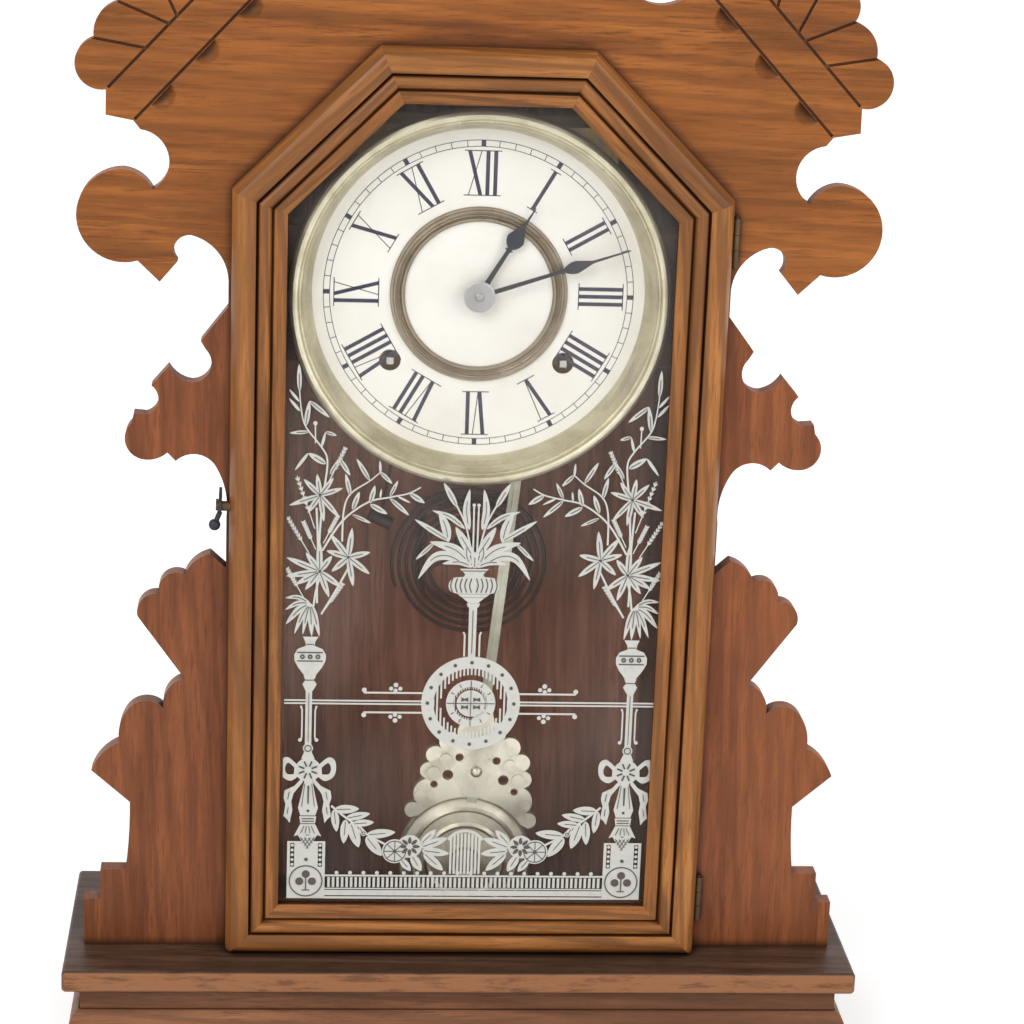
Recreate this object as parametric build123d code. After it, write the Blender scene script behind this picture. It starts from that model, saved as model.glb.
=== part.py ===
from build123d import *
from math import atan2, ceil, cos, degrees, hypot, pi, radians, sin, sqrt, tan
import os

# Lengths are in millimetres and angles in degrees.
# The clock stands on Z = 0 and faces -Y, with X = 0 at its middle.

# Front boards
base_height = 52.0
board_front = -27.5
board_thickness = 9.0
board_join_height = 364.0
waist_half_width = 113.7
board_foot_half_width = 179.6
opening_half_width = 90.0
opening_bottom = 72.0
opening_shoulder = 409.5
opening_top = 461.5
opening_corner = 38.0
groove_width = 1.3
groove_depth = 1.1

# Crown ornament
band_width = 17.9
band_foot = (168.1, 460.5)
band_slope = 46.8
fan_centre = (138.7, 491.7)
fan_lean = 43.2
piercing_centre = (75.5, 522.5)
piercing_radius = 18.5
crest_centre_height = 531.0
crest_radius = 55.0
gouge_start = (143.9, 458.8)
gouge_pitch = 27.7
gouge_radius = 6.4
gouge_count = 3

# Case box
case_inner_half_width = 92.0
case_side_thickness = 8.0
case_back_inner = 50.0
back_board_thickness = 6.0
case_roof_bottom = 470.0
case_roof_thickness = 8.0
dial_block_width = 12.0
dial_block_depth = 18.0
dial_block_height = 62.0

# Base
base_half_width = 188.0
base_half_depth = 60.0
base_top_thickness = 10.7
base_top_edge = 2.0
frieze_setback = 8.0
frieze_bottom = 29.6
base_wall_thickness = 15.0
base_block_size = 16.0

# Door
door_half_width = 109.5
door_bottom = 53.6
door_shoulder = 417.4
door_top = 480.6
door_rail_width = 22.0
door_thickness = 12.3
door_board_clearance = 0.4
door_base_clearance = 0.8
door_flare = 3.0
glass_thickness = 2.0
glass_rebate_depth = 4.6
glass_rebate_width = 3.2
glass_edge_clearance = 0.3
bead_thickness = 1.6

# Hinges
hinge_axis_x = 114.2
hinge_axis_y = -29.6
hinge_height = 22.0
hinge_lower_middle = 78.0
hinge_upper_middle = 399.0
hinge_leaf_thickness = 0.8
hinge_barrel_radius = 1.9
hinge_pin_radius = 0.9
hinge_pin_clearance = 0.06
hinge_knuckle_gap = 0.25
hinge_leaf_width = 15.0

# Latch
latch_pivot_y = -34.0
latch_height = 272.6
latch_plate_thickness = 1.4
latch_plate_gap = 2.1
latch_screw_radius = 1.3
latch_stem_radius = 1.2
latch_ball_radius = 2.7
latch_ball_x = -118.9
latch_ball_drop = 8.9
latch_pin_y = -23.0
latch_pin_radius = 1.2
latch_rest_lift = 14.0
latch_pivot_clearance = 0.05

# Dial
dial_below_shoulder = 40.7
dial_front = -12.0
dial_pan_thickness = 0.6
dial_white_radius = 76.2
bezel_radius = 86.8
bezel_front = -28.5
bezel_sheet = 0.9
dial_rim_overhang = 3.0
dial_rim_thickness = 0.6
dial_ring_outer = 40.7
dial_ring_inner = 33.8
winding_offset_x = 39.9
winding_drop = 31.6
winding_hole_radius = 5.0
dial_centre_hole_radius = 5.2

# Hands
hour_hand_length = 47.5
minute_hand_length = 72.0
hour_hand_angle = 31.0
minute_hand_angle = 71.5
hand_thickness = 0.7
hour_hand_y = -14.8
minute_hand_y = -17.2

# Movement plates
plate_half_width = 63.0
plate_below_centre = 65.0
plate_above_centre = 75.0
plate_thickness = 1.6
front_plate_y = 4.0
back_plate_y = 36.0
pillar_radius = 3.2
pillar_pivot_radius = 2.0
pillar_fit = 0.05
pillar_x = 56.0
pillar_edge = 6.0
arbor_radius = 1.2
arbor_fit = 0.05

# Wheels: teeth and modules
great_teeth = 52
great_module = 1.0
pinion_teeth = 8
second_teeth = 48
third_teeth = 60
escape_pinion_teeth = 6
centre_teeth = 64
escape_teeth = 40
escape_radius = 13.0
pallet_clearance = 2.6
strike_second_teeth = 48
strike_second_module = 0.9
cannon_teeth = 12
minute_wheel_teeth = 36
minute_pinion_teeth = 10
hour_wheel_teeth = 40
motion_distance = 19.2
wheel_thickness = 1.2
great_wheel_thickness = 2.0
third_offset = (24.0, 19.0)
escape_offset = (4.0, 39.0)
strike_second_angle = 80.0
strike_fly_angle = 97.5
motion_angle = 250.0

# Springs and winding arbors
winding_arbor_radius = 2.4
winding_square = 3.2
spring_hub_radius = 3.9
spring_thickness = 0.6
spring_width = 17.0
spring_turns = 7
spring_pitch = 2.4
spring_start_radius = 4.6
spring_front = 14.5

# Pendulum
pendulum_y = -4.6
pendulum_lean = 5.5
pendulum_pivot_offset = (4.0, 61.0)
pendulum_hook_drop = 71.0
bob_middle_x = 2.4
bob_drop = 281.2
bob_radius = 32.5
bob_thickness = 8.0
bob_edge_thickness = 2.2
pendulum_strip_width = 5.0
pendulum_strip_thickness = 1.2
leader_radius = 0.65
suspension_slot = 3.4

# Strike
gong_middle_x = 3.8
gong_drop = 142.1
gong_y = 33.0
gong_outer_radius = 38.0
gong_wire_radius = 0.85
gong_turns = 5
gong_pitch = 3.5
gong_lead_angle = 200.0
gong_post_radius = 4.0
gong_post_fit = 0.02
gong_block_size = 44.0
gong_block_thickness = 9.0
hammer_pivot_offset = (-31.1, -60.0)
hammer_y = 31.5
hammer_head_offset = (-41.0, -120.5)
hammer_head_radius = 3.3
hammer_head_length = 11.5
hammer_rod_radius = 0.8

# Derived places
board_rear = board_front + board_thickness
door_rear = board_front - door_board_clearance
bezel_rear = board_rear
dial_height = opening_shoulder - dial_below_shoulder
centre_place = (0.0, dial_height)
plate_bottom = dial_height - plate_below_centre
plate_top = dial_height + plate_above_centre
lower_pillar = (pillar_x, plate_bottom + pillar_edge)
upper_pillar = (pillar_x, plate_top - pillar_edge)
third_place = (third_offset[0], dial_height + third_offset[1])
escape_place = (escape_offset[0], dial_height + escape_offset[1])
pendulum_pivot = (pendulum_pivot_offset[0], dial_height + pendulum_pivot_offset[1])
pendulum_hook_height = dial_height - pendulum_hook_drop
bob_centre = (bob_middle_x, dial_height - bob_drop)
gong_centre = (gong_middle_x, dial_height - gong_drop)
hammer_pivot = (hammer_pivot_offset[0], dial_height + hammer_pivot_offset[1])
hammer_head = (hammer_head_offset[0], dial_height + hammer_head_offset[1])
winding_place = (winding_offset_x, dial_height - winding_drop)
plate_inner_front = front_plate_y + plate_thickness


def box(x0, x1, y0, y1, z0, z1):
    """A block between two corners."""
    middle = ((x0 + x1) / 2, (y0 + y1) / 2, (z0 + z1) / 2)
    return Pos(*middle) * Box(abs(x1 - x0), abs(y1 - y0), abs(z1 - z0))


def rod_y(place, radius, y0, y1):
    """A round rod along Y at an (x, z) place."""
    return Pos(place[0], (y0 + y1) / 2, place[1]) * Rot(90, 0, 0) * Cylinder(radius, abs(y1 - y0))


def rod_x(y, z, radius, x0, x1):
    """A round rod along X."""
    return Pos((x0 + x1) / 2, y, z) * Rot(0, 90, 0) * Cylinder(radius, abs(x1 - x0))


def rod_z(x, y, radius, z0, z1):
    """A round rod along Z."""
    return Pos(x, y, (z0 + z1) / 2) * Cylinder(radius, abs(z1 - z0))


def outline(steps):
    """A face in the XZ plane. A step is a point, or a pair of a point on the way and an end."""
    edges = []
    here = steps[0]
    for step in steps[1:]:
        start = Vector(here[0], 0, here[1])
        if isinstance(step[0], tuple):
            via, here = step
            edges.append(ThreePointArc(start, Vector(via[0], 0, via[1]), Vector(here[0], 0, here[1])))
        else:
            here = step
            edges.append(Line(start, Vector(here[0], 0, here[1])))
    if hypot(here[0] - steps[0][0], here[1] - steps[0][1]) > 0.001:
        edges.append(Line(Vector(here[0], 0, here[1]), Vector(steps[0][0], 0, steps[0][1])))
    return Face(Wire(edges))


def slab(face, y0, y1):
    """A flat XZ face thickened from y0 to y1."""
    return extrude(Pos(0, y0, 0) * face, amount=y1 - y0, dir=(0, 1, 0))


def mirrored(shape):
    """The same shape on the other side of X = 0."""
    return mirror(shape, Plane.YZ)


def turned(place, length, angle):
    """The point at a length and angle from a place in the XZ plane."""
    return (place[0] + length * cos(radians(angle)), place[1] + length * sin(radians(angle)))


def bearing(a, b):
    """The angle in the XZ plane from one place to another."""
    return degrees(atan2(b[1] - a[1], b[0] - a[0]))


def spin(shape, place, angle):
    """A shape turned clockwise, seen from the front, about a Y axis."""
    return Pos(place[0], 0, place[1]) * Rot(0, angle, 0) * Pos(-place[0], 0, -place[1]) * shape


def ring_y(profile, place):
    """A solid of revolution about a Y axis. The profile is a list of (radius, y)."""
    face = make_face(Polyline([(r, y, 0) for r, y in profile], close=True))
    solid = revolve(face, axis=Axis.Y)
    return Pos(place[0], 0, place[1]) * solid


def saw_cut(start, end, width, depth):
    """An incised line on the front boards."""
    length = hypot(end[0] - start[0], end[1] - start[1])
    middle = ((start[0] + end[0]) / 2, (start[1] + end[1]) / 2)
    cut = Box(length + width, 2 * depth, width)
    return Pos(middle[0], board_front, middle[1]) * Rot(0, -bearing(start, end), 0) * cut


def export(name, shape):
    """Write one node."""
    shape.label = name
    export_step(shape, "parts/" + name + ".step")


# Front boards

def fan_point(along, across):
    """A point of the fan, measured along and across its leaning axis."""
    c = cos(radians(fan_lean))
    s = sin(radians(fan_lean))
    return (fan_centre[0] + along * c + across * s, fan_centre[1] + along * s - across * c)


def fan_steps():
    """The five lobes of a side fan, from its lower end to its upper end."""
    lobes = [(17.3, 44.4, 19.2, 30.0), (24.6, 20.8, 22.3, 10.9), (31.0, 0.0, 22.3, -10.9)]
    lobes += [(24.6, -20.8, 19.2, -30.0), (17.3, -44.4, 0.0, -42.8)]
    return [(fan_point(a, b), fan_point(c, d)) for a, b, c, d in lobes]


def crest_point(radius, angle):
    """A point of the middle crest."""
    return (radius * cos(radians(angle)), crest_centre_height + radius * sin(radians(angle)))


crest_cusps = [24.0, 50.4, 76.8, 103.2, 129.6, 156.0]


def crest_steps():
    """The lobes over the right half of the crest, up to the middle."""
    steps = []
    for low, high in zip(crest_cusps[0:2], crest_cusps[1:3]):
        steps.append((crest_point(crest_radius, (low + high) / 2), crest_point(crest_radius - 5.0, high)))
    steps.append((crest_point(crest_radius, 84.0), crest_point(crest_radius, 90.0)))
    return steps


def band_point(along, across):
    """A point on a diagonal band, from its foot along it and inwards across it."""
    c = cos(radians(band_slope))
    s = sin(radians(band_slope))
    return (band_foot[0] - along * c - across * s, band_foot[1] + along * s - across * c)


def crown_half():
    """The right half of the crown board's outline."""
    steps = [(0.0, board_join_height), (waist_half_width, board_join_height), (waist_half_width, 376.0)]
    steps += [((118.9, 389.4), (130.3, 396.4)), ((136.6, 393.8), (136.4, 384.4))]
    steps += [(144.4, 374.9), (154.2, 384.3)]
    steps += [((181.4, 404.5), (160.6, 425.5)), ((153.6, 423.2), (147.5, 416.8))]
    steps += [((140.3, 430.0), (153.0, 443.3)), band_point(-1.5, band_width), band_point(-8.2, 7.5), band_foot]
    steps += fan_steps()
    steps += [band_point(126.0, 0.0), (band_point(133.5, 5.0), band_point(134.5, 12.0))]
    steps += [((52.0, 549.5), crest_point(crest_radius - 5.0, crest_cusps[0]))]
    steps += crest_steps()
    return outline(steps)


def door_opening():
    """The octagon-topped opening behind the door."""
    corners = [(-opening_half_width, opening_bottom), (opening_half_width, opening_bottom)]
    corners += [(opening_half_width, opening_shoulder), (opening_corner, opening_top)]
    corners += [(-opening_corner, opening_top), (-opening_half_width, opening_shoulder)]
    return slab(outline(corners), board_front - 1, board_rear + 1)


def crown_details():
    """Incised lines, gouges and piercings on the right half of the crown."""
    cuts = []
    low = band_point(2.0, 0.0)
    high = band_point(126.0, 0.0)
    cuts.append(saw_cut(low, high, groove_width, groove_depth))
    cuts.append(saw_cut(band_point(0.0, band_width), band_point(126.0, band_width), groove_width, groove_depth))
    for along, across, foot in ((19.2, 30.0, 17.6), (22.3, 10.9, 2.6), (22.3, -10.9, -2.6), (19.2, -30.0, -17.6)):
        cuts.append(saw_cut(fan_point(0.6, foot), fan_point(along, across), groove_width, groove_depth))
    for angle in crest_cusps[0:3]:
        cuts.append(saw_cut(crest_point(18.0, angle), crest_point(crest_radius - 5.0, angle), groove_width,
                            groove_depth))
    for index in range(gouge_count):
        c = cos(radians(band_slope))
        s = sin(radians(band_slope))
        x = gouge_start[0] - index * gouge_pitch * c
        z = gouge_start[1] + index * gouge_pitch * s
        scoop = Pos(x, board_front - 4.6, z) * Sphere(hypot(gouge_radius, 4.6))
        keep = Pos(x, board_front, z) * Rot(0, band_slope, 0) * Pos(0, 0, -10) * Box(40, 20, 20)
        cuts.append(scoop & keep)
    hole = slab(Pos(0, 0, 0) * outline(circle_steps(piercing_centre, piercing_radius)), board_front - 1,
                board_rear + 1)
    middle = band_point(80.0, band_width)
    below = Pos(middle[0], board_front, middle[1]) * Rot(0, band_slope, 0) * Pos(0, 0, -40) * Box(200, 60, 80)
    cuts.append(hole & below)
    return cuts


def circle_steps(centre, radius):
    """A circle as four arcs."""
    x, z = centre
    k = radius * sqrt(0.5)
    return [(x + radius, z), ((x + k, z + k), (x, z + radius)), ((x - k, z + k), (x - radius, z)),
            ((x - k, z - k), (x, z - radius)), ((x + k, z - k), (x + radius, z))]


def crown_board():
    """The carved and pierced top board."""
    half = slab(crown_half(), board_front, board_rear)
    for cut in crown_details():
        half = half - cut
    whole = half + mirrored(half)
    arch = Pos(0, board_front, crest_centre_height) * Rot(90, 0, 0)
    arch = arch * (Cylinder(18.7, 2 * groove_depth) - Cylinder(17.4, 2 * groove_depth))
    whole = whole - (arch & box(-30, 30, -60, 0, crest_centre_height, crest_centre_height + 30))
    whole = whole - door_opening()
    for leaf in hinge_recesses():
        whole = whole - leaf
    return whole


def wing_steps():
    """The right wing board's outline, from the crown joint down to the base."""
    steps = [(opening_half_width, board_join_height), (waist_half_width, board_join_height)]
    steps += [(125.9, 348.0), (123.6, 344.2)]
    steps += [((121.0, 337.6), (130.0, 328.7)), ((135.8, 331.0), (140.3, 336.0))]
    steps += [(148.0, 327.0), ((144.9, 319.8), (150.3, 313.3)), (156.0, 313.8), (156.8, 309.4)]
    steps += [((160.0, 301.0), (150.7, 292.1)), ((145.4, 292.8), (140.7, 295.6)), (136.9, 291.7)]
    steps += [((127.0, 295.0), (118.6, 289.3)), ((115.0, 281.0), (waist_half_width, 266.0))]
    steps += [(waist_half_width, 241.0), (121.0, 247.6)]
    steps += [((127.9, 244.0), (132.6, 237.4)), ((140.4, 237.2), (144.3, 227.9))]
    steps += [((152.2, 225.0), (154.2, 216.8)), (132.5, 186.6)]
    steps += [((139.3, 182.4), (142.2, 172.0)), ((151.0, 175.2), (158.6, 171.2))]
    steps += [((162.3, 163.6), (162.8, 154.4)), ((170.3, 149.2), (175.8, 140.4)), (157.8, 124.5)]
    steps += [((158.2, 108.0), (159.9, 90.0)), (171.7, 90.0), (171.7, 75.0)]
    steps += [(board_foot_half_width, 75.0), (board_foot_half_width, base_height)]
    steps += [(opening_half_width, base_height)]
    return steps


def right_wing():
    """The right wing board, recessed for the case leaf of the lower hinge."""
    board = slab(outline(wing_steps()), board_front, board_rear)
    for leaf in hinge_recesses():
        board = board - leaf
    return board


def left_wing():
    """The left wing board with the hole of the latch pin."""
    board = mirrored(slab(outline(wing_steps()), board_front, board_rear))
    return board - rod_x(latch_pin_y, latch_pin_z(), latch_pin_radius, -waist_half_width + 6.0, -waist_half_width - 9)


def lower_rail():
    """The strip of the front under the door opening."""
    return box(-opening_half_width, opening_half_width, board_front, board_rear, base_height, opening_bottom)


# Case box

def case_right_side():
    """The box side, standing on the base."""
    inner = case_inner_half_width
    return box(inner, inner + case_side_thickness, board_rear, case_back_inner, base_height, case_roof_bottom)


def case_roof():
    """The box roof, over both sides."""
    half = case_inner_half_width + case_side_thickness
    return box(-half, half, board_rear, case_back_inner, case_roof_bottom, case_roof_bottom + case_roof_thickness)


def back_board():
    """The back of the box, nailed over the sides and the roof."""
    half = case_inner_half_width + case_side_thickness
    top = case_roof_bottom + case_roof_thickness
    return box(-half, half, case_back_inner, case_back_inner + back_board_thickness, base_height, top)


def dial_block():
    """The right upright block that carries the dial."""
    inner = case_inner_half_width
    half = dial_block_height / 2
    return box(inner - dial_block_width, inner, board_rear, board_rear + dial_block_depth,
               dial_height - half, dial_height + half)


# Base

def base_top():
    """The base's top board with eased edges."""
    board = box(-base_half_width, base_half_width, -base_half_depth, base_half_depth,
                base_height - base_top_thickness, base_height)
    return fillet(board.edges(), base_top_edge)


def base_profile():
    """The moulded section: outwards distance from the frieze, then height."""
    top = base_height - base_top_thickness
    start = [(-base_wall_thickness, 0.0), (-base_wall_thickness, top), (0.0, top), (0.0, frieze_bottom)]
    torus = [(0.9, frieze_bottom), ((5.0, 21.8), (0.9, 14.2)), (2.2, 14.2), (2.2, 12.8)]
    foot = [((3.2, 10.8), (6.4, 10.2)), (6.4, 0.0)]
    return start + torus + foot


def mitred_length(origin, direction, outwards, length):
    """The base section run along one wall, long enough to cut its mitres."""
    place = Plane(origin=origin, x_dir=outwards, z_dir=direction)
    edges = []
    here = base_profile()[0]
    for step in base_profile()[1:]:
        start = place.from_local_coords(Vector(here[0], here[1], 0))
        if isinstance(step[0], tuple):
            via, here = step
            middle = place.from_local_coords(Vector(via[0], via[1], 0))
            edges.append(ThreePointArc(start, middle, place.from_local_coords(Vector(here[0], here[1], 0))))
        else:
            here = step
            edges.append(Line(start, place.from_local_coords(Vector(here[0], here[1], 0))))
    edges.append(Line(edges[-1] @ 1, edges[0] @ 0))
    return extrude(Face(Wire(edges)), amount=length, dir=direction)


def base_front():
    """The moulded front of the base, mitred at both ends."""
    half = base_half_width - frieze_setback
    front = -base_half_depth + frieze_setback
    run = mitred_length((half + 20, front, 0), (-1, 0, 0), (0, -1, 0), 2 * half + 40)
    right = Plane(origin=(half, front, 0), z_dir=(1, 1, 0))
    left = Plane(origin=(-half, front, 0), z_dir=(-1, 1, 0))
    run = split(run, bisect_by=right, keep=Keep.BOTTOM)
    return split(run, bisect_by=left, keep=Keep.BOTTOM)


def base_right_side():
    """The moulded right side of the base, mitred to the front."""
    half = base_half_width - frieze_setback
    front = -base_half_depth + frieze_setback
    run = mitred_length((half, base_half_depth - base_top_edge, 0), (0, -1, 0), (1, 0, 0),
                        base_half_depth - front + 20)
    corner = Plane(origin=(half, front, 0), z_dir=(1, 1, 0))
    return split(run, bisect_by=corner, keep=Keep.TOP)


def base_back():
    """The plain back of the base, between the sides."""
    half = base_half_width - frieze_setback - base_wall_thickness
    rear = base_half_depth - base_top_edge
    return box(-half, half, rear - 12.0, rear, 0.0, base_height - base_top_thickness)


def base_blocks():
    """Four glue blocks in the corners under the base top."""
    x = base_half_width - frieze_setback - base_wall_thickness
    front = -base_half_depth + frieze_setback + base_wall_thickness
    rear = base_half_depth - base_top_edge - 12.0
    top = base_height - base_top_thickness
    size = base_block_size
    right = box(x - size, x, front, front + size, top - 26.0, top)
    right_rear = box(x - size, x, rear - size, rear, top - 26.0, top)
    return Compound(children=[right, right_rear, mirrored(right), mirrored(right_rear)])


# Door

def door_corners():
    """The frame's outer arris, anticlockwise from the top left seen from the front."""
    corner = door_half_width - (door_top - door_shoulder)
    return [(-corner, door_top), (-door_half_width, door_shoulder), (-door_half_width, door_bottom),
            (door_half_width, door_bottom), (door_half_width, door_shoulder), (corner, door_top)]


def door_profile(plane):
    """The rail's moulded section in a plane with x inwards and y to the front."""
    t = door_thickness
    w = door_rail_width
    steps = [(-door_flare, 0.0), (-door_flare + 0.4, t - 5.2), ((-1.3, t - 2.6), (0.0, t - 0.8))]
    steps += [((4.2, t + 0.15), (8.0, t - 1.1)), (8.6, t - 2.9), (9.5, t - 1.2)]
    steps += [((11.8, t - 0.2), (14.2, t - 1.5)), (15.2, t - 3.9), (16.2, t - 3.0)]
    steps += [((19.2, t - 3.5), (w, t - 5.5)), (w, glass_rebate_depth)]
    steps += [(w - glass_rebate_width, glass_rebate_depth), (w - glass_rebate_width, 0.0)]
    edges = []
    here = steps[0]
    for step in steps[1:]:
        start = plane.from_local_coords(Vector(here[0], here[1], 0))
        if isinstance(step[0], tuple):
            via, here = step
            middle = plane.from_local_coords(Vector(via[0], via[1], 0))
            edges.append(ThreePointArc(start, middle, plane.from_local_coords(Vector(here[0], here[1], 0))))
        else:
            here = step
            edges.append(Line(start, plane.from_local_coords(Vector(here[0], here[1], 0))))
    edges.append(Line(edges[-1] @ 1, edges[0] @ 0))
    return Face(Wire(edges))


def unit(a, b):
    """The direction from one (x, z) point to another."""
    length = hypot(b[0] - a[0], b[1] - a[1])
    return ((b[0] - a[0]) / length, (b[1] - a[1]) / length)


def door_rail(index):
    """One mitred rail of the door frame."""
    corners = door_corners()
    before, start, end, after = [corners[(index + k - 1) % 6] for k in range(4)]
    along = unit(start, end)
    inwards = (-along[1], along[0])
    reach = 30.0
    place = Plane(origin=(start[0] - reach * along[0], door_rear, start[1] - reach * along[1]),
                  x_dir=(inwards[0], 0, inwards[1]), z_dir=(along[0], 0, along[1]))
    length = hypot(end[0] - start[0], end[1] - start[1]) + 2 * reach
    rail = extrude(door_profile(place), amount=length, dir=(along[0], 0, along[1]))
    first = unit(before, start)
    last = unit(end, after)
    mitre = Plane(origin=(start[0], 0, start[1]), z_dir=(first[0] + along[0], 0, first[1] + along[1]))
    rail = split(rail, bisect_by=mitre, keep=Keep.TOP)
    mitre = Plane(origin=(end[0], 0, end[1]), z_dir=(along[0] + last[0], 0, along[1] + last[1]))
    rail = split(rail, bisect_by=mitre, keep=Keep.BOTTOM)
    low = base_height + door_base_clearance
    return rail - box(-base_half_width, base_half_width, -base_half_depth, 0, low - 20, low)


def octagon(inset):
    """The door's octagon-topped outline, moved inwards."""
    corner = door_half_width - (door_top - door_shoulder)
    ease = inset * tan(radians(22.5))
    x = door_half_width - inset
    return outline([(-x, door_bottom + inset), (x, door_bottom + inset), (x, door_shoulder - ease),
                    (corner - ease, door_top - inset), (-corner + ease, door_top - inset),
                    (-x, door_shoulder - ease)])


def door_glass():
    """The pane in the rebate."""
    front = door_rear - glass_rebate_depth
    edge = door_rail_width - glass_rebate_width + glass_edge_clearance
    return slab(octagon(edge), front, front + glass_thickness)


def glass_beads():
    """The strips behind the pane."""
    rear = door_rear - glass_rebate_depth + glass_thickness + bead_thickness
    outer = slab(octagon(door_rail_width - glass_rebate_width), rear - bead_thickness, rear)
    return outer - slab(octagon(door_rail_width), rear - bead_thickness - 1, rear + 1)


def hinge_middles():
    """The heights of both hinges."""
    return (hinge_lower_middle, hinge_upper_middle)


def hinge_recesses():
    """The pockets for the case leaves in the front boards."""
    cuts = []
    for middle in hinge_middles():
        half = hinge_height / 2
        cuts.append(box(hinge_axis_x - hinge_leaf_width, hinge_axis_x + 1.0, board_front - 1,
                        board_front + hinge_leaf_thickness, middle - half, middle + half))
    return cuts


def case_leaf(middle):
    """The hinge leaf in the front board, with the pin and the outer knuckles."""
    half = hinge_height / 2
    leaf = box(hinge_axis_x - hinge_leaf_width, hinge_axis_x + 1.0, board_front,
               board_front + hinge_leaf_thickness, middle - half, middle + half)
    third = hinge_height / 3
    for low in (middle - half, middle + half - third):
        leaf += rod_z(hinge_axis_x, hinge_axis_y, hinge_barrel_radius, low, low + third)
        leaf += box(hinge_axis_x - 0.8, hinge_axis_x + 1.0, hinge_axis_y, board_front + 0.1, low, low + third)
    pin = rod_z(hinge_axis_x, hinge_axis_y, hinge_pin_radius, middle - half - 0.8, middle + half + 0.8)
    return leaf + pin


def door_leaf(middle):
    """The hinge leaf behind the door stile, with the middle knuckle."""
    half = hinge_height / 2
    third = hinge_height / 6 - hinge_knuckle_gap
    front = door_rear - hinge_leaf_thickness
    edge = hinge_axis_x - hinge_barrel_radius - 0.5
    leaf = box(hinge_axis_x - hinge_leaf_width, edge, front, door_rear, middle - half, middle + half)
    leaf += box(edge - 1, hinge_axis_x, front, door_rear, middle - third, middle + third)
    leaf += rod_z(hinge_axis_x, hinge_axis_y, hinge_barrel_radius, middle - third, middle + third)
    bore = rod_z(hinge_axis_x, hinge_axis_y, hinge_pin_radius + hinge_pin_clearance, middle - half, middle + half)
    return leaf - bore


def hinge_gain(middle):
    """What the door's stile loses to one hinge."""
    half = hinge_height / 2
    edge = hinge_axis_x - hinge_barrel_radius - 0.5
    gain = rod_z(hinge_axis_x, hinge_axis_y, hinge_barrel_radius + 0.45, middle - half - 1.2, middle + half + 1.2)
    return gain + box(hinge_axis_x - hinge_leaf_width, edge + 3, door_rear - hinge_leaf_thickness, door_rear + 1,
                      middle - half, middle + half)


def latch_pin_z():
    """The height of the pin that the hook drops on."""
    return latch_height - 2.0


def latch_inner():
    """The latch plate's face on the board's side."""
    return -waist_half_width - latch_plate_gap


def latch_pin():
    """The round-headed pin in the left board's edge."""
    edge = -waist_half_width
    outer = latch_inner() - latch_plate_thickness
    shank = rod_x(latch_pin_y, latch_pin_z(), latch_pin_radius, edge + 6.0, outer - 0.6)
    return shank + rod_x(latch_pin_y, latch_pin_z(), latch_pin_radius + 1.0, outer - 0.4, outer - 1.4)


def latch_handle():
    """The stem and ball under the hook's pivot, turned in one piece."""
    start = (latch_inner() - latch_plate_thickness / 2, latch_height - 2.8)
    end = (latch_ball_x, latch_height - latch_ball_drop)
    length = between(start, end)
    foot = length - sqrt(latch_ball_radius ** 2 - latch_stem_radius ** 2)
    edges = [Line((0, 0), (latch_stem_radius, 0)), Line((latch_stem_radius, 0), (latch_stem_radius, foot))]
    edges.append(ThreePointArc((latch_stem_radius, foot), (latch_ball_radius, length),
                               (0, length + latch_ball_radius)))
    edges.append(Line((0, length + latch_ball_radius), (0, 0)))
    turned_piece = Rot(90, 0, 0) * revolve(Face(Wire(edges)), axis=Axis.Y)
    along = Plane(origin=(start[0], latch_pivot_y, start[1]), z_dir=(end[0] - start[0], 0, end[1] - start[1]))
    return along * turned_piece


def latch_hook():
    """The hook on the door's left edge, held lifted just clear of its pin."""
    inner = latch_inner()
    outer = inner - latch_plate_thickness
    y = latch_pivot_y
    z = latch_height
    plate_steps = [(-3.6, 0.0), ((-2.6, 2.6), (0.0, 3.6)), (4.0, 1.6), (14.6, 1.6), (14.6, -3.4), (12.45, -3.4)]
    plate_steps += [(12.45, -2.0), ((11.0, -0.55), (9.55, -2.0)), (9.0, -2.0), (4.0, -1.6)]
    plate_steps += [((0.0, -3.6), (-3.6, 0.0))]
    flat = extrude(outline(plate_steps), amount=latch_plate_thickness, dir=(0, 1, 0))
    arm = Pos(inner, y, z) * Rot(latch_rest_lift, 0, 0) * Rot(0, 0, 90) * flat
    hook = arm + latch_handle()
    return hook - rod_x(y, z, latch_screw_radius + latch_pivot_clearance, outer - 5, inner + 5)


def latch_screw():
    """The screw that the hook turns on."""
    inner = latch_inner()
    outer = inner - latch_plate_thickness
    shank = rod_x(latch_pivot_y, latch_height, latch_screw_radius, outer - 0.6, -door_half_width + 8.0)
    collar = rod_x(latch_pivot_y, latch_height, 2.2, inner + 0.1, -door_half_width - 1.0)
    head = rod_x(latch_pivot_y, latch_height, 2.1, outer - 1.2, outer - 0.1)
    return shank + collar + head


# Dial and hands

def dial_pan():
    """The round pan behind the printed dial, with its holes and turned rim."""
    rear = dial_front + dial_pan_thickness
    outer = dial_white_radius + dial_rim_overhang
    inner = outer - dial_rim_thickness
    profile = [(0.0, dial_front), (inner, dial_front), (inner, bezel_rear + 1.4),
               (outer, bezel_rear + 1.4), (outer, rear), (0.0, rear)]
    pan = ring_y(profile, centre_place)
    pan -= rod_y(centre_place, dial_centre_hole_radius, dial_front - 1, rear + 1)
    for side in (-1, 1):
        pan -= rod_y((side * winding_place[0], winding_place[1]), winding_hole_radius, dial_front - 1, rear + 1)
    return pan


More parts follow.
